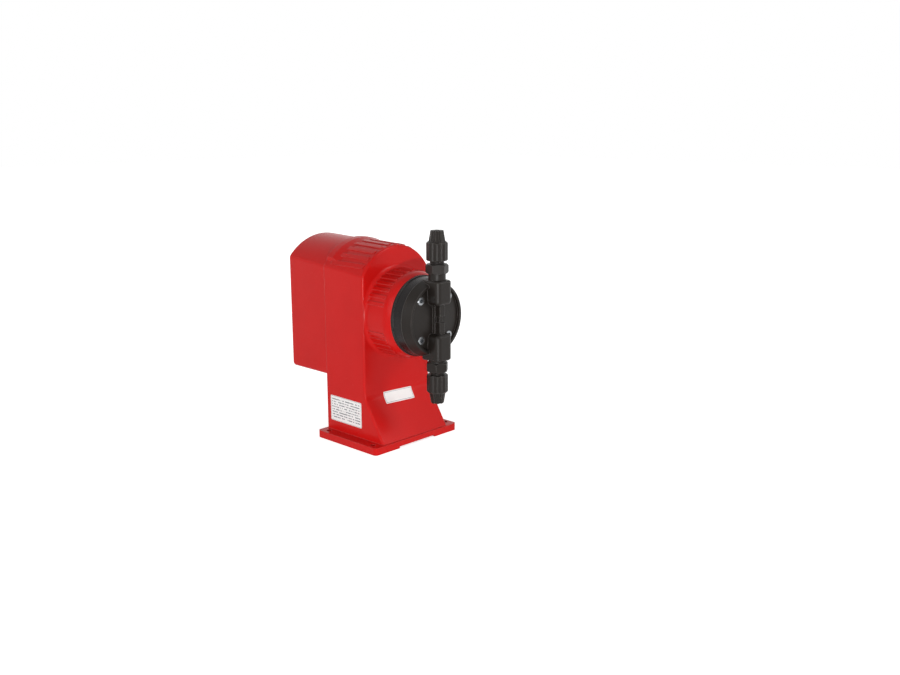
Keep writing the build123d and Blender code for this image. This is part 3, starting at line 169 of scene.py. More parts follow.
def lay_label(name, node, centre, across, up, size, corner, material):
    """A thin label with rounded corners, pressed on a CAD node's surface so that it follows its bend.

    Its UV map "print" holds millimetres from the label's lower left corner.
    """
    cell = 1.2 * MM         # about the size of one square of the label's grid
    glue = 0.02 * MM        # from the wall to the label's underside
    stand_off = 30 * MM     # from the label's plane to where the search for the wall starts
    outward = across.cross(up)
    body = nodes[node].data
    skin = BVHTree.FromPolygons([v.co for v in body.vertices], [p.vertices for p in body.polygons])
    columns, rows = (max(4, round(length / cell)) for length in size)
    half = Vector((size[0] / 2, size[1] / 2))
    form = bmesh.new()
    prints = {}
    layers = []
    for lift in (glue, FILM_FACE):
        layer = []
        for j in range(rows + 1):
            for i in range(columns + 1):
                spot = Vector(((2 * i / columns - 1) * half.x, (2 * j / rows - 1) * half.y))
                spot = round_off(spot, half, corner)
                start = centre + across * spot.x + up * spot.y + outward * stand_off
                hit = skin.ray_cast(start, -outward)[0]
                if hit is None:
                    raise ValueError(name + " reaches past the surface that it is stuck to")
                point = form.verts.new(hit + outward * lift)
                prints[point] = (spot + half) / MM
                layer.append(point)
        layers.append(layer)
    inner, outer = layers
    width = columns + 1
    for j in range(rows):
        for i in range(columns):
            low = j * width + i
            high = low + width
            form.faces.new((outer[low], outer[low + 1], outer[high + 1], outer[high]))
            form.faces.new((inner[high], inner[high + 1], inner[low + 1], inner[low]))
    rim = list(range(columns)) + [j * width + columns for j in range(rows)]
    rim += [rows * width + i for i in range(columns, 0, -1)] + [j * width for j in range(rows, 0, -1)]
    for a, b in zip(rim, rim[1:] + rim[:1]):
        form.faces.new((inner[a], inner[b], outer[b], outer[a]))
    printed = form.loops.layers.uv.new("print")
    for face in form.faces:
        for loop in face.loops:
            loop[printed].uv = prints[loop.vert]
    bmesh.ops.recalc_face_normals(form, faces=form.faces)
    return placed_mesh(name, form, material)


def shape_tree(name, sockets):
    """A Geometry Nodes tree with named inputs for its sizes, and the outputs that give those inputs."""
    tree = bpy.data.node_groups.new(name, "GeometryNodeTree")
    for label, kind in sockets.items():
        tree.interface.new_socket(name=label, in_out="INPUT", socket_type="NodeSocket" + kind)
    tree.interface.new_socket(name="Geometry", in_out="OUTPUT", socket_type="NodeSocketGeometry")
    return tree, tree.nodes.new("NodeGroupInput").outputs


def close_tree(tree, geometry, place, turn, material):
    """End a tree: the geometry goes to its place, its instances become real and it gets its material."""
    moved = add(tree, "GeometryNodeTransform", {"Geometry": geometry, "Translation": place, "Rotation": turn})
    real = add(tree, "GeometryNodeRealizeInstances", {"Geometry": moved.outputs["Geometry"]})
    done = add(tree, "GeometryNodeSetMaterial", {"Geometry": real.outputs["Geometry"], "Material": material})
    add(tree, "NodeGroupOutput", {"Geometry": done.outputs["Geometry"]})
    return tree


def thread_tree(material):
    """A thread round a vertical pipe: a diamond ridge swept along a spiral."""
    tree, given = shape_tree("pipe_thread", {
        "Radius": "Float", "Height": "Float", "Turns": "Float", "Ridge": "Float", "Place": "Vector"})
    spiral = add(tree, "GeometryNodeCurveSpiral", {
        "Resolution": 40, "Rotations": given["Turns"], "Height": given["Height"],
        "Start Radius": given["Radius"], "End Radius": given["Radius"]})
    ridge = add(tree, "GeometryNodeCurvePrimitiveCircle", {"Resolution": 4, "Radius": given["Ridge"]},
                mode="RADIUS")
    swept = add(tree, "GeometryNodeCurveToMesh", {
        "Curve": spiral.outputs["Curve"], "Profile Curve": ridge.outputs["Curve"], "Fill Caps": True})
    return close_tree(tree, swept.outputs["Mesh"], given["Place"], (0, 0, 0), material)


def scale_tree(material):
    """A dial's scale: ticks set along an arc that opens downwards, on a wall that faces +Y."""
    tree, given = shape_tree("dial_scale", {
        "Radius": "Float", "Ticks": "Int", "Sweep": "Float", "Tick": "Vector", "Place": "Vector"})
    half_turn = add(tree, "ShaderNodeMath", {0: math.pi, 1: given["Sweep"]}, operation="SUBTRACT")
    start = add(tree, "ShaderNodeMath", {0: half_turn.outputs["Value"], 1: 0.5}, operation="MULTIPLY")
    arc = add(tree, "GeometryNodeCurveArc", {
        "Resolution": given["Ticks"], "Radius": given["Radius"],
        "Start Angle": start.outputs["Value"], "Sweep Angle": given["Sweep"]}, mode="RADIUS")
    spots = add(tree, "GeometryNodeCurveToPoints", {"Curve": arc.outputs["Curve"]}, mode="EVALUATED")
    turned = add(tree, "FunctionNodeAlignRotationToVector", {"Vector": spots.outputs["Tangent"]}, axis="X",
                 pivot_axis="Z")
    tick = add(tree, "GeometryNodeMeshCube", {"Size": given["Tick"]})
    many = add(tree, "GeometryNodeInstanceOnPoints", {
        "Points": spots.outputs["Points"], "Instance": tick.outputs["Mesh"],
        "Rotation": turned.outputs["Rotation"]})
    upright = (math.pi / 2, 0, 0)
    return close_tree(tree, many.outputs["Instances"], given["Place"], upright, material)


def printed_marks(name, marks, wall_y, material):
    """Numbers and words printed on a wall that faces +Y, in one mesh. marks holds (words, x, z, height)."""
    form = bmesh.new()
    for words, x, z, height in marks:
        curve = bpy.data.curves.new(name, "FONT")
        curve.body = words
        curve.size = height
        curve.extrude = INK_LIFT
        curve.resolution_u = 4
        curve.align_x = "CENTER"
        curve.align_y = "CENTER"
        flat = bpy.data.objects.new(name, curve)
        bpy.context.scene.collection.objects.link(flat)
        mesh = bpy.data.meshes.new_from_object(flat.evaluated_get(bpy.context.evaluated_depsgraph_get()))
        upright = Matrix(((-1, 0, 0, x), (0, 0, 1, wall_y + INK_LIFT), (0, 1, 0, z), (0, 0, 0, 1)))
        mesh.transform(upright)
        form.from_mesh(mesh)
        bpy.data.objects.remove(flat)
        bpy.data.meshes.remove(mesh)
    bmesh.ops.remove_doubles(form, verts=form.verts, dist=MERGE_REACH)
    return placed_mesh(name, form, material)


def pointer_bar(name, centre, direction, start, end, width, rise, material):
    """A slim raised bar with round ends, standing on a wall that faces +Y and pointing away from a centre."""
    arc_steps = 8           # of each round end
    side = Vector((direction.z, 0, -direction.x))
    half = width / 2
    outline = []
    for middle, first in ((start, 90), (end, -90)):
        for step in range(arc_steps + 1):
            angle = math.radians(first + step * 180 / arc_steps)
            along = direction * (middle + half * math.cos(angle))
            outline.append(centre + along + side * half * math.sin(angle))
    form = bmesh.new()
    top = form.faces.new([form.verts.new(point) for point in outline])
    walls = bmesh.ops.extrude_face_region(form, geom=[top])
    raised = [point for point in walls["geom"] if isinstance(point, bmesh.types.BMVert)]
    bmesh.ops.translate(form, verts=raised, vec=(0, rise, 0))
    bmesh.ops.recalc_face_normals(form, faces=form.faces)
    return placed_mesh(name, form, material)


def lens_ring(name, centre, inner, outer, rise, material):
    """A half-round ring about a lens, standing on a wall that faces +Y."""
    around, over = 40, 6    # steps round the ring, and over its rounded section
    crest, half = (inner + outer) / 2, (outer - inner) / 2
    form = bmesh.new()
    rings = []
    for i in range(around):
        turn = 2 * math.pi * i / around
        ring = []
        for j in range(over + 1):
            angle = math.pi * j / over
            radius = crest - half * math.cos(angle)
            place = Vector((radius * math.cos(turn), rise * math.sin(angle), radius * math.sin(turn)))
            ring.append(form.verts.new(centre + place))
        rings.append(ring)
    for a, b in zip(rings, rings[1:] + rings[:1]):
        for j in range(over + 1):
            k = (j + 1) % (over + 1)
            form.faces.new((a[j], a[k], b[k], b[j]))
    bmesh.ops.recalc_face_normals(form, faces=form.faces)
    return placed_mesh(name, form, material)


# ---------------------------------------------------------------- materials
def moulded_plastic(name, code, flow_code, roughness, grain_mm=0.5, grain_depth_mm=0.02, edge_mm=0.1,
                    clear=0.0, sheen=0.5, painted_edge_highlight=0.0):
    """Injection-moulded plastic.

    The tool's polish gives the gloss, flow marks shift the colour a little, a fine grain breaks the highlight
    up, and edges are rounded, with a painted highlight that pales them slightly. Real grain is too fine to
    show, so it is drawn coarser. The edge mask takes in inner edges too, so the painted highlight is kept
    low.
    """
    flow_mm = 35.0              # distance over which the colour shifts
    smoother, rougher = 0.05, 0.07      # how far the grain moves the roughness either way
    painted_highlight_code = "F2E9E4"      # the colour that the painted edge highlight pales towards
    even, keen = 0.99, 0.85     # cosines between flat and rounded normal where the painted highlight starts and is full
    made, tree, out = blank_material(name)
    where = add(tree, "ShaderNodeTexCoord").outputs["Object"]
    flow = add(tree, "ShaderNodeTexNoise", {
        "Vector": where, "Scale": 1 / (flow_mm * MM), "Detail": 3.0, "Roughness": 0.55})
    grain = add(tree, "ShaderNodeTexNoise", {"Vector": where, "Scale": 1 / (grain_mm * MM), "Detail": 2.0})
    base = add(tree, "ShaderNodeMix", {
        "Factor": flow.outputs["Fac"], "A": linear(code), "B": linear(flow_code)}, data_type="RGBA")
    rough = add(tree, "ShaderNodeMapRange", {
        "Value": grain.outputs["Fac"], "To Min": roughness - smoother, "To Max": roughness + rougher})
    edge = add(tree, "ShaderNodeBevel", {"Radius": edge_mm * MM}, samples=4)
    bump = add(tree, "ShaderNodeBump", {
        "Strength": 0.25, "Distance": grain_depth_mm * MM, "Height": grain.outputs["Fac"],
        "Normal": edge.outputs["Normal"]})
    flat = add(tree, "ShaderNodeNewGeometry").outputs["Normal"]
    along = add(tree, "ShaderNodeVectorMath", {0: edge.outputs["Normal"], 1: flat}, operation="DOT_PRODUCT")
    # Painted highlight: a pale colour laid on rounded edges, where the rounded normal leaves the flat one.
    painted_highlight_mask = add(tree, "ShaderNodeMapRange", {
        "Value": along.outputs["Value"], "From Min": even, "From Max": keen, "To Min": 0.0, "To Max": painted_edge_highlight})
    highlighted_base = add(tree, "ShaderNodeMix", {
        "Factor": painted_highlight_mask.outputs["Result"], "A": base.outputs["Result"], "B": linear(painted_highlight_code)},
        data_type="RGBA")
    shader = add(tree, "ShaderNodeBsdfPrincipled", {
        "Base Color": highlighted_base.outputs["Result"], "Roughness": rough.outputs["Result"], "IOR": 1.5,
        "Specular IOR Level": sheen, "Coat Weight": clear, "Coat Roughness": 0.1,
        "Normal": bump.outputs["Normal"]})
    tree.links.new(shader.outputs["BSDF"], out.inputs["Surface"])
    return made


def turned_metal(name, code, roughness, line_mm, axis="Y"):
    """Machined metal. The cutter leaves rings about its axis, which stretch the highlight across them.

    Real rings are too fine to show, so they are drawn coarser.
    """
    stretch = 8.0               # how much longer a mark is round the axis than along it
    line_depth_mm = 0.02
    smoother, rougher = 0.08, 0.12      # how far the rings move the roughness either way
    made, tree, out = blank_material(name)
    where = add(tree, "ShaderNodeTexCoord").outputs["Object"]
    squeeze = [1.0, 1.0, 1.0]
    squeeze["XYZ".index(axis)] = stretch
    placed = add(tree, "ShaderNodeMapping", {"Vector": where, "Scale": squeeze})
    lines = add(tree, "ShaderNodeTexNoise", {
        "Vector": placed.outputs["Vector"], "Scale": 1 / (line_mm * MM * stretch), "Detail": 4.0,
        "Roughness": 0.7})
    rough = add(tree, "ShaderNodeMapRange", {
        "Value": lines.outputs["Fac"], "To Min": roughness - smoother, "To Max": roughness + rougher})
    bump = add(tree, "ShaderNodeBump", {
        "Strength": 0.3, "Distance": line_depth_mm * MM, "Height": lines.outputs["Fac"]})
    shader = add(tree, "ShaderNodeBsdfPrincipled", {
        "Base Color": linear(code), "Metallic": 1.0, "Roughness": rough.outputs["Result"],
        "Normal": bump.outputs["Normal"]})
    tree.links.new(shader.outputs["BSDF"], out.inputs["Surface"])
    return made


def printed_film(name, paper, ink, size, margin_mm, pitch_mm, rule_mm, frame_mm):
    """Screen-printed vinyl film. size is the label's own, in metres.

    The film is a soft white with a faint mottle and a low gloss, the ink a little duller than the film. Rows
    of short dashes, pitch_mm apart and rule_mm thick, stand for a form's entries inside a thin printed frame.
    """
    dashes_per_mm = 0.55
    gap_below = 0.46            # where the dashes' noise is under this, the row has a gap
    mottle_mm, mottle_code, mottle_depth_mm = 6.0, "EFEFED", 0.02
    film_rough, ink_rough = 0.42, 0.55
    width_mm, height_mm = (length / MM for length in size)
    made, tree, out = blank_material(name)
    print_map = add(tree, "ShaderNodeUVMap", uv_map="print")
    spot = add(tree, "ShaderNodeSeparateXYZ", {"Vector": print_map.outputs["UV"]})
    masks = []
    for inset in (margin_mm, margin_mm + frame_mm, margin_mm + 2 * pitch_mm / 3):
        sides = []
        for key, length in (("X", width_mm), ("Y", height_mm)):
            side = add(tree, "ShaderNodeMath", {
                0: spot.outputs[key], 1: length / 2, 2: length / 2 - inset}, operation="COMPARE")
            sides.append(side.outputs["Value"])
        mask = add(tree, "ShaderNodeMath", {0: sides[0], 1: sides[1]}, operation="MULTIPLY")
        masks.append(mask.outputs["Value"])
    label_area, framed_area, row_area = masks
    border = add(tree, "ShaderNodeMath", {0: label_area, 1: framed_area}, operation="SUBTRACT")
    row = add(tree, "ShaderNodeMath", {0: spot.outputs["Y"], 1: pitch_mm}, operation="DIVIDE")
    within = add(tree, "ShaderNodeMath", {0: row.outputs["Value"]}, operation="FRACT")
    line = add(tree, "ShaderNodeMath", {
        0: within.outputs["Value"], 1: 0.5, 2: rule_mm / pitch_mm / 2}, operation="COMPARE")
    number = add(tree, "ShaderNodeMath", {0: row.outputs["Value"]}, operation="FLOOR")
    dash_spot = add(tree, "ShaderNodeCombineXYZ", {"X": spot.outputs["X"], "Y": number.outputs["Value"]})
    dashes = add(tree, "ShaderNodeTexNoise", {
        "Vector": dash_spot.outputs["Vector"], "Scale": dashes_per_mm, "Detail": 1.0})
    drawn = add(tree, "ShaderNodeMath", {0: dashes.outputs["Fac"], 1: gap_below}, operation="GREATER_THAN")
    rules = add(tree, "ShaderNodeMath", {0: line.outputs["Value"], 1: drawn.outputs["Value"]},
                operation="MULTIPLY")
    inside = add(tree, "ShaderNodeMath", {0: rules.outputs["Value"], 1: row_area}, operation="MULTIPLY")
    inked = add(tree, "ShaderNodeMath", {0: border.outputs["Value"], 1: inside.outputs["Value"]},
                operation="MAXIMUM")
    where = add(tree, "ShaderNodeTexCoord").outputs["Object"]
    mottle = add(tree, "ShaderNodeTexNoise", {"Vector": where, "Scale": 1 / (mottle_mm * MM), "Detail": 2.0})
    film = add(tree, "ShaderNodeMix", {
        "Factor": mottle.outputs["Fac"], "A": linear(paper), "B": linear(mottle_code)}, data_type="RGBA")
    colour = add(tree, "ShaderNodeMix", {
        "Factor": inked.outputs["Value"], "A": film.outputs["Result"], "B": linear(ink)}, data_type="RGBA")
    rough = add(tree, "ShaderNodeMapRange", {
        "Value": inked.outputs["Value"], "To Min": film_rough, "To Max": ink_rough})
    bump = add(tree, "ShaderNodeBump", {
        "Strength": 0.15, "Distance": mottle_depth_mm * MM, "Height": mottle.outputs["Fac"]})
    shader = add(tree, "ShaderNodeBsdfPrincipled", {
        "Base Color": colour.outputs["Result"], "Roughness": rough.outputs["Result"], "IOR": 1.5,
        "Specular IOR Level": 0.35, "Normal": bump.outputs["Normal"]})
    tree.links.new(shader.outputs["BSDF"], out.inputs["Surface"])
    return made


def backdrop(tree, lighting, shown):
    """The shader that lights the pump, with another one shown to the camera and in mirrors and glass."""
    path = add(tree, "ShaderNodeLightPath").outputs
    mirrored = add(tree, "ShaderNodeMath", {0: path["Is Glossy Ray"], 1: path["Is Transmission Ray"]},
                   operation="MAXIMUM")
    seen = add(tree, "ShaderNodeMath", {0: path["Is Camera Ray"], 1: mirrored.outputs["Value"]},
               operation="MAXIMUM")
    mixed = add(tree, "ShaderNodeMixShader", {"Fac": seen.outputs["Value"], 1: lighting, 2: shown})
    return mixed.outputs["Shader"]


# ---------------------------------------------------------------- properties
class PumpFinishes(PropertyGroup):
    """Colours of the pump's main finishes."""
    housing: StringProperty(
        name="Housing", description="sRGB hex of the moulded red housing", default="CD1715")
    housing_flow: StringProperty(
        name="Housing flow marks", description="sRGB hex of its darker flow marks", default="C01412")
    wet_end: StringProperty(
        name="Liquid end", description="sRGB hex of the black pump head", default="221D1A")
    wet_end_flow: StringProperty(
        name="Liquid end flow marks", description="sRGB hex of its darker flow marks", default="1A1613")
    flange: StringProperty(
        name="Flange", description="sRGB hex of the flange behind the pump head", default="1E1B1B")
    panel: StringProperty(
        name="Rear panel", description="sRGB hex of the rear control panel", default="2A2B2D")
    paper: StringProperty(
        name="Labels", description="sRGB hex of the label film", default="F6F6F5")
    print_ink: StringProperty(
        name="Print", description="sRGB hex of the printed rules", default="6C7078")


class PumpLabels(PropertyGroup):
    """Labels on the pedestal, each with its middle and its size, and the lean of the front one."""
    rating_place: FloatVectorProperty(
        name="Rating label", description="Middle of the label on the left wall",
        unit="LENGTH", default=(-0.04875, 0.0141, 0.0333))
    rating_size: FloatVectorProperty(
        name="Rating size", description="Width and height of that label",
        size=2, unit="LENGTH", default=(0.0506, 0.0284))
    sticker_place: FloatVectorProperty(
        name="Front sticker", description="Middle of the sticker on the front wall",
        unit="LENGTH", default=(-0.0014, -0.018, 0.0489))
    sticker_size: FloatVectorProperty(
        name="Sticker size", description="Width and height of that sticker",
        size=2, unit="LENGTH", default=(0.0418, 0.0122))
    sticker_lean: FloatProperty(
        name="Sticker lean", description="Degrees that its right end hangs down", default=2.2)


class PumpDial(PropertyGroup):
    """Printed marks of the rear panel."""
    middle: FloatVectorProperty(
        name="Knob", description="Where the knob's axis meets the panel",
        unit="LENGTH", default=(0.0, 0.106, 0.162))
    tick_radius: FloatProperty(
        name="Tick radius", description="Radius of the scale", unit="LENGTH", default=0.0175)
    number_radius: FloatProperty(
        name="Number radius", description="Radius of the numbers", unit="LENGTH", default=0.0252)
    ticks: IntProperty(
        name="Ticks", description="Marks from the lowest to the highest setting", default=21)
    sweep: FloatProperty(
        name="Sweep", description="Turn from the lowest to the highest setting",
        subtype="ANGLE", default=math.radians(270))


class PumpThread(PropertyGroup):
    """Threads that show between each union's hexagon and its hose nut."""
    radius: FloatProperty(
        name="Thread radius", description="Radius at the middle of the ridge", unit="LENGTH", default=0.00715)
    ridge: FloatProperty(
        name="Ridge", description="Half the thickness of the ridge", unit="LENGTH", default=0.00042)
    pitch: FloatProperty(
        name="Pitch", description="Rise of the thread in a turn", unit="LENGTH", default=0.0012)


class PumpStage(PropertyGroup):
    """World, lamps and camera."""
    ambient: FloatProperty(
        name="Ambient", description="Strength of the world's light on the pump", default=0.32)
    key: FloatProperty(
        name="Key lamp", description="Power of the left lamp", unit="POWER", default=6.7)
    fill: FloatProperty(
        name="Fill lamp", description="Power of the right lamp", unit="POWER", default=11.4)
    strip: FloatProperty(
        name="Front strip", description="Power of the low lamp beside the camera", unit="POWER", default=4.0)
    back: FloatProperty(
        name="Back lamp", description="Power of the lamp behind the pump", unit="POWER", default=6.0)
    lens: FloatProperty(
        name="Lens", description="Focal length in millimetres on a 36 mm sensor", default=38.857)
    camera_place: FloatVectorProperty(
        name="Camera", description="Place of the camera",
        unit="LENGTH", default=(-0.71222, -0.76443, 0.34865))
    camera_azimuth: FloatProperty(
        name="Azimuth", description="Degrees turned from looking along +Y", default=-46.81)
    camera_elevation: FloatProperty(
        name="Elevation", description="Degrees the camera looks down", default=12.89)


# ---------------------------------------------------------------- operators
class PUMP_OT_housing(Operator):
    """Gives the front housing and the rear cover their gloss red moulded finish"""
    bl_idname = "pump.housing"
    bl_label = "Housing"

    def execute(self, context):
        """Makes the material and paints the housing nodes."""
        finish = context.scene.pump_finishes
        # ABS from a polished tool: an even red with a broad, soft gloss, and rounded edges with a faint
        # painted highlight.
        red = moulded_plastic("red_abs_gloss_moulded", finish.housing, finish.housing_flow, roughness=0.24,
                              grain_mm=1.1, grain_depth_mm=0.03, edge_mm=1.0, sheen=0.12, painted_edge_highlight=0.06)
        paint(red, "front_housing", "rear_cover")
        return {"FINISHED"}


class PUMP_OT_wet_end(Operator):
    """Gives the head, flange, unions and hose nuts their black finishes, and the outer screws their steel"""
    bl_idname = "pump.wet_end"
    bl_label = "Liquid End"

    def execute(self, context):
        """Makes the materials and paints the liquid end's nodes and the outer screws."""
        finish = context.scene.pump_finishes
        # Glass fibre dulls the nylon's surface: a warm black whose highlights are wide and weak, with a
        # painted highlight along its edges.
        black = moulded_plastic("black_glass_filled_nylon_moulded", finish.wet_end, finish.wet_end_flow,
                                roughness=0.38, grain_depth_mm=0.04, edge_mm=0.9, sheen=0.18, painted_edge_highlight=0.1)
        paint(black, "pump_head", "discharge_union", "discharge_nut", "suction_union", "suction_nut")
        # Acetal has no fibre in it, so it is smoother than the head and its highlights are narrower. Its
        # edges get a painted highlight.
        flange = moulded_plastic("black_acetal_flange_moulded", finish.flange, "191717", roughness=0.26,
                                 edge_mm=0.5, sheen=0.16, painted_edge_highlight=0.1)
        paint(flange, "back_flange")
        # Stainless steel: a bright grey, with a rim of light round each screw head.
        steel = turned_metal("stainless_socket_screw", "8F9194", roughness=0.22, line_mm=0.15)
        paint(steel, "head_screws", "cover_screws", "panel_screws")
        return {"FINISHED"}


class PUMP_OT_threads(Operator):
    """Winds a thread round each union where it shows under the hose nut"""
    bl_idname = "pump.threads"
    bl_label = "Union Threads"

    def execute(self, context):
        """Grows one thread for each gap between hexagon and nut."""
        bare = 3.0 * MM         # length of thread that shows
        clear = 0.2 * MM        # from the thread's end to the nut
        size = context.scene.pump_thread
        tree = thread_tree(bpy.data.materials["black_glass_filled_nylon_moulded"])
        for side in ("discharge", "suction"):
            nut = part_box(side + "_nut")
            middle_x, middle_y = ((nut[0][i] + nut[1][i]) / 2 for i in (0, 1))
            low = nut[0][2] - bare - clear if side == "discharge" else nut[1][2] + clear
            piece = grown(side + "_thread", tree, Radius=size.radius, Height=bare, Turns=bare / size.pitch,
                          Ridge=size.ridge, Place=(middle_x, middle_y, low))
            belong(piece, "housing")
        return {"FINISHED"}


class PUMP_OT_labels(Operator):
    """Sticks a rating label on the left wall and a plain sticker on the front"""
    bl_idname = "pump.labels"
    bl_label = "Labels"

    def execute(self, context):
        """Makes the film materials and presses both labels on the housing."""
        finish, label = context.scene.pump_finishes, context.scene.pump_labels
        size = tuple(label.rating_size)
        # White vinyl with rows of fine grey dashes, as a printed form looks from a few steps away.
        film = printed_film("white_vinyl_rating_film", finish.paper, finish.print_ink, size,
                            margin_mm=0.5, pitch_mm=2.9, rule_mm=1.1, frame_mm=0.3)
        piece = lay_label("rating_label", "front_housing", Vector(label.rating_place), Vector((0, -1, 0)),
                          Vector((0, 0, 1)), size, corner=1.2 * MM, material=film)
        belong(piece, "housing")
        size = tuple(label.sticker_size)
        # The same vinyl with its frame alone: rows of no thickness, further apart than the sticker is high.
        film = printed_film("white_vinyl_sticker_film", finish.paper, finish.print_ink, size,
                            margin_mm=0.9, pitch_mm=40.0, rule_mm=0.0, frame_mm=0.3)
        lean = math.radians(label.sticker_lean)
        across = Vector((math.cos(lean), 0, -math.sin(lean)))
        up = Vector((math.sin(lean), 0, math.cos(lean)))
        piece = lay_label("front_sticker", "front_housing", Vector(label.sticker_place), across, up, size,
                          corner=0.8 * MM, material=film)
        belong(piece, "housing")
        return {"FINISHED"}


class PUMP_OT_rear(Operator):
    """Gives the rear panel and what it carries their finishes, and the seals theirs"""
    bl_idname = "pump.rear"
    bl_label = "Rear Panel"

    def execute(self, context):
        """Makes the materials and paints the rear nodes and the seals."""
        panel = context.scene.pump_finishes.panel
        # A texture etched in the tool scatters the light, so the plate is an even dark grey.
        textured = moulded_plastic("grey_abs_textured_panel", panel, "2A2B2D", roughness=0.5, grain_mm=0.35,
                                   grain_depth_mm=0.06, edge_mm=0.2)
        paint(textured, "control_panel")
        # Satin ABS: black, with a soft highlight that shows each form.
        satin = moulded_plastic("black_abs_satin_knob", "1C1C1D", "171718", roughness=0.42, grain_mm=0.4,
                                grain_depth_mm=0.04, edge_mm=0.3)
        paint(satin, "stroke_knob", "switch_body", "gland_body", "gland_nut", "gland_locknut")
        # Polished ABS: near black, with a sharp streak of light along the rocker.
        gloss = moulded_plastic("black_abs_gloss_rocker", "141415", "101011", roughness=0.22, grain_mm=0.4,
                                grain_depth_mm=0.01, edge_mm=0.3)
        paint(gloss, "power_rocker")
        # Acrylic: a deep red under a clear, glassy surface.
        lens = moulded_plastic("red_acrylic_lens", "A3120F", "8E0E0C", roughness=0.1, grain_mm=2.0,
                               grain_depth_mm=0.01, edge_mm=0.2, clear=0.6)
        paint(lens, "status_led")
        # Nitrile rubber: a dull black with hardly a highlight.
        rubber = moulded_plastic("black_nitrile_seal", "1A1A1A", "151515", roughness=0.6, grain_mm=0.4,
                                 grain_depth_mm=0.03)
        paint(rubber, "gland_seal", "cover_gasket", "discharge_seal", "suction_seal")
        return {"FINISHED"}


class PUMP_OT_dial(Operator):
    """Prints the stroke scale and the switch's marks, and adds the knob's pointer and the lamp's ring"""
    bl_idname = "pump.dial"
    bl_label = "Dial"

    def execute(self, context):
        """Makes the marks from the dial's sizes."""
        top_number, number_steps, number_height = 100, 5, 4.2 * MM
        word_height, word_gap = 3.6 * MM, 3.2 * MM
        tick_width, tick_length = 0.45 * MM, 2.2 * MM
        sunk = 0.05 * MM        # how deep the pointer sits in the knob's face
        dial = context.scene.pump_dial
        middle = Vector(dial.middle)
        # Pad printing: a thin, matt white that stands out from the dark panel.
        ink = moulded_plastic("white_pad_print", "E4E4E2", "DCDCDA", roughness=0.45, grain_depth_mm=0.01,
                              edge_mm=0.05, sheen=0.4)
        ticks = grown("dial_ticks", scale_tree(ink), Radius=dial.tick_radius, Ticks=dial.ticks,
                      Sweep=dial.sweep, Tick=(tick_width, tick_length, 2 * INK_LIFT),
                      Place=middle + Vector((0, INK_LIFT, 0)))
        belong(ticks, "housing")
        marks = []
        for step in range(number_steps + 1):
            number = str(step * top_number // number_steps)
            turn = dial.sweep * (step / number_steps - 0.5)
            marks.append((number, middle.x - dial.number_radius * math.sin(turn),
                          middle.z + dial.number_radius * math.cos(turn), number_height))
        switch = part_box("switch_body")
        switch_x = (switch[0][0] + switch[1][0]) / 2
        marks.append(("ON", switch_x, switch[1][2] + word_gap, word_height))
        marks.append(("OFF", switch_x, switch[0][2] - word_gap, word_height))
        belong(printed_marks("panel_marks", marks, middle.y, ink), "housing")
        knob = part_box("stroke_knob")
        turn = dial.sweep / 2
        pointer = pointer_bar("knob_pointer", Vector((middle.x, knob[1][1] - sunk, middle.z)),
                              Vector((math.sin(turn), 0, math.cos(turn))), start=3.5 * MM, end=9.6 * MM,
                              width=1.5 * MM, rise=0.25 * MM, material=ink)
        belong(pointer, "stroke_control")
        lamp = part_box("status_led")
        centre = Vector(((lamp[0][0] + lamp[1][0]) / 2, middle.y, (lamp[0][2] + lamp[1][2]) / 2))
        # Chrome plate: a bright ring that mirrors the lamps.
        chrome = turned_metal("chrome_plated_lamp_ring", "C6C8CA", roughness=0.16, line_mm=0.2)
        ring = lens_ring("lamp_ring", centre, inner=2.6 * MM, outer=3.8 * MM, rise=0.7 * MM, material=chrome)
        belong(ring, "housing")
        return {"FINISHED"}


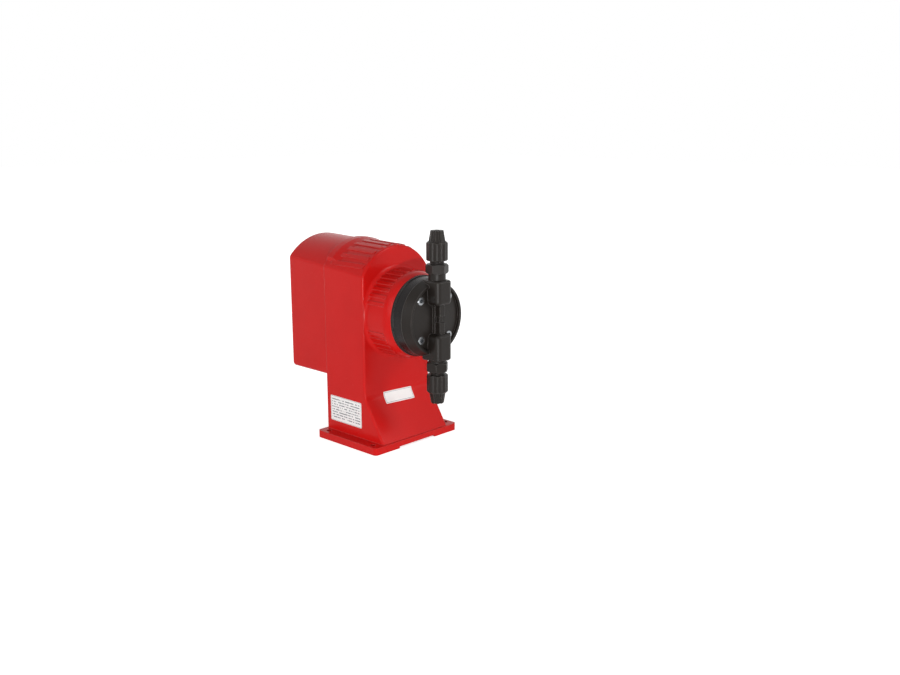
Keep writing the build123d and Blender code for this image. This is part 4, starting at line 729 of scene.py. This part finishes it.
class PUMP_OT_interior(Operator):
    """Gives the solenoid, diaphragm, check valves and circuit board their finishes"""
    bl_idname = "pump.interior"
    bl_label = "Interior"

    def execute(self, context):
        """Makes the materials, paints the inner nodes and sets a merged copy of the spring in its place."""
        # Zinc plate over turned steel: a pale grey with a low sheen.
        paint(turned_metal("zinc_plated_mild_steel", "A9ABAE", roughness=0.38, line_mm=0.3),
              "solenoid_yoke", "pole_core", "armature", "yoke_screws", "board_screws", "potentiometer")
        # Ground stainless steel: bright, with fine rings.
        steel = turned_metal("ground_stainless_rod", "C4C6C8", roughness=0.22, line_mm=0.1)
        paint(steel, "push_rod", "diaphragm_plate", "return_spring", "knob_spindle")
        flexing_spring("flexing_spring", "return_spring", steel)
        # Enamelled copper wire: a warm orange brown with a satin gleam.
        paint(turned_metal("enamelled_copper_winding", "B5622E", roughness=0.34, line_mm=0.6), "coil_winding")
        # Sintered bronze is porous: a dull yellow brown.
        paint(turned_metal("sintered_bronze", "9C7440", roughness=0.5, line_mm=0.4), "guide_bush")
        # Stacked steel sheets: dull grey, with lines across the height of the stack.
        paint(turned_metal("transformer_core_laminate", "7B7D80", roughness=0.5, line_mm=0.5, axis="Z"),
              "transformer")
        # PTFE and unfilled nylon are waxy: a soft highlight on white and on cream.
        paint(moulded_plastic("white_ptfe", "ECECE9", "E6E5E1", roughness=0.45, grain_mm=0.6, edge_mm=0.2),
              "diaphragm", "discharge_seat", "suction_seat")
        paint(moulded_plastic("natural_nylon", "DAD4C3", "D2CBB8", roughness=0.45, grain_mm=0.6, edge_mm=0.2),
              "coil_bobbin", "discharge_cage", "discharge_ferrule", "suction_cage", "suction_ferrule")
        # Polished alumina: off-white and glossy, like glazed china.
        paint(moulded_plastic("polished_alumina", "EDE8DD", "E8E2D4", roughness=0.12, grain_mm=2.0,
                              grain_depth_mm=0.005), "discharge_ball", "suction_ball")
        # Lacquer over laminate: an even green with a low gloss.
        paint(moulded_plastic("green_board_laminate", "1F5A34", "1B5230", roughness=0.4), "circuit_board")
        # Dyed nylon: a lighter green than the board's.
        paint(moulded_plastic("green_terminal_nylon", "2E7D4A", "2A7444", roughness=0.35), "terminal_block")
        # Shrunk PVC: dark blue and smooth.
        paint(moulded_plastic("blue_pvc_sleeve", "27304E", "222A46", roughness=0.3, grain_depth_mm=0.01),
              "capacitors")
        return {"FINISHED"}


class PUMP_OT_stage(Operator):
    """Makes the floor, the world, the lamps and the camera"""
    bl_idname = "pump.stage"
    bl_label = "Studio"

    def execute(self, context):
        """Builds the studio: a floor that fades to white, a white world, three softboxes and a low strip."""
        floor_half, floor_gap = 6.0, 0.2 * MM   # half the floor's side, and the gap under the foot
        fade_from, fade_to = 0.3, 1.6           # metres from the pump between which the floor turns white
        near_glow, far_glow = 0.7, 1.0
        aim = Vector((0, 0.02, 0.12))           # what every lamp points at
        scene = context.scene
        stage = scene.pump_stage
        scene.view_settings.view_transform = "Standard"

        # A matt white floor: it keeps the pump's shadow, and further off it runs into the white background.
        white, tree, out = blank_material("matt_white_sweep")
        diffuse = add(tree, "ShaderNodeBsdfDiffuse", {"Color": linear("F4F4F3")})
        where = add(tree, "ShaderNodeTexCoord").outputs["Object"]
        reach = add(tree, "ShaderNodeVectorMath", {0: where}, operation="LENGTH").outputs["Value"]
        lift = add(tree, "ShaderNodeMapRange", {
            "Value": reach, "From Min": fade_from, "From Max": fade_to,
            "To Min": near_glow, "To Max": far_glow})
        glow = add(tree, "ShaderNodeEmission", {
            "Color": linear("FFFFFF"), "Strength": lift.outputs["Result"]})
        both = add(tree, "ShaderNodeAddShader", {0: diffuse.outputs["BSDF"], 1: glow.outputs["Emission"]})
        tree.links.new(backdrop(tree, diffuse.outputs["BSDF"], both.outputs["Shader"]), out.inputs["Surface"])
        form = bmesh.new()
        corners = ((-1, -1), (1, -1), (1, 1), (-1, 1))
        form.faces.new([form.verts.new((x * floor_half, y * floor_half, -floor_gap)) for x, y in corners])
        floor = placed_mesh("floor", form, white)

        world = bpy.data.worlds.new("studio")
        world.use_nodes = True
        scene.world = world
        tree = world.node_tree
        tree.nodes.clear()
        # White light on the pump, and then the full white that the camera, mirrors and glass see.
        lights = []
        for strength in (stage.ambient, 1.0):
            light = add(tree, "ShaderNodeBackground", {"Color": linear("FFFFFF"), "Strength": strength})
            lights.append(light.outputs["Background"])
        add(tree, "ShaderNodeOutputWorld", {"Surface": backdrop(tree, *lights)})

        # Each lamp's name and power, then in metres its place and its width and height.
        for name, power, place, size in (
            ("key_softbox", stage.key, (-1.5, -0.35, 0.8), (0.8, 1.1)),
            ("fill_softbox", stage.fill, (0.85, -1.45, 0.9), (0.7, 1.0)),
            ("front_strip", stage.strip, (-0.67, -0.73, 0.012), (0.12, 0.02)),
            ("back_softbox", stage.back, (-0.5, 1.6, 0.5), (0.8, 0.8)),
        ):
            data = bpy.data.lights.new(name, "AREA")
            data.shape = "RECTANGLE"
            data.size, data.size_y = size
            data.energy = power
            lamp = bpy.data.objects.new(name, data)
            turn = (aim - Vector(place)).to_track_quat("-Z", "Y")
            lamp.matrix_world = Matrix.Translation(place) @ turn.to_matrix().to_4x4()
            scene.collection.objects.link(lamp)

        data = bpy.data.cameras.new("camera")
        data.lens = stage.lens
        data.sensor_width = 36.0
        camera = bpy.data.objects.new("camera", data)
        turn = Matrix.Rotation(math.radians(stage.camera_azimuth), 4, "Z")
        tip = Matrix.Rotation(math.radians(90 - stage.camera_elevation), 4, "X")
        camera.matrix_world = Matrix.Translation(stage.camera_place) @ turn @ tip
        scene.collection.objects.link(camera)
        scene.camera = camera
        return {"FINISHED"}


class PUMP_PT_looks(Panel):
    """Lists the pump's sizes, colours and operators"""
    bl_label = "Metering Pump"
    bl_idname = "PUMP_PT_looks"
    bl_space_type = "VIEW_3D"
    bl_region_type = "UI"
    bl_category = "Pump"

    def draw(self, context):
        """Draws the settings, then a button for each operator."""
        for name in GROUPS:
            group = getattr(context.scene, name)
            column = self.layout.column(align=True)
            for key in group.__annotations__:
                column.prop(group, key)
        for operator in OPERATORS:
            self.layout.operator(operator.bl_idname)


OPERATORS = (PUMP_OT_housing, PUMP_OT_wet_end, PUMP_OT_threads, PUMP_OT_labels, PUMP_OT_rear, PUMP_OT_dial,
             PUMP_OT_interior, PUMP_OT_stage)
GROUPS = {"pump_finishes": PumpFinishes, "pump_labels": PumpLabels, "pump_dial": PumpDial,
          "pump_thread": PumpThread, "pump_stage": PumpStage}


def register():
    """Registers the property groups, the operators and the panel."""
    for name, group in GROUPS.items():
        bpy.utils.register_class(group)
        setattr(bpy.types.Scene, name, PointerProperty(type=group))
    for made in (*OPERATORS, PUMP_PT_looks):
        bpy.utils.register_class(made)


def unregister():
    """Removes what register added."""
    for made in (*OPERATORS, PUMP_PT_looks):
        bpy.utils.unregister_class(made)
    for name, group in GROUPS.items():
        delattr(bpy.types.Scene, name)
        bpy.utils.unregister_class(group)


def main():
    register()
    for operator in OPERATORS:
        group, name = operator.bl_idname.split(".")
        getattr(getattr(bpy.ops, group), name)()


if __name__ == "__main__":
    main()
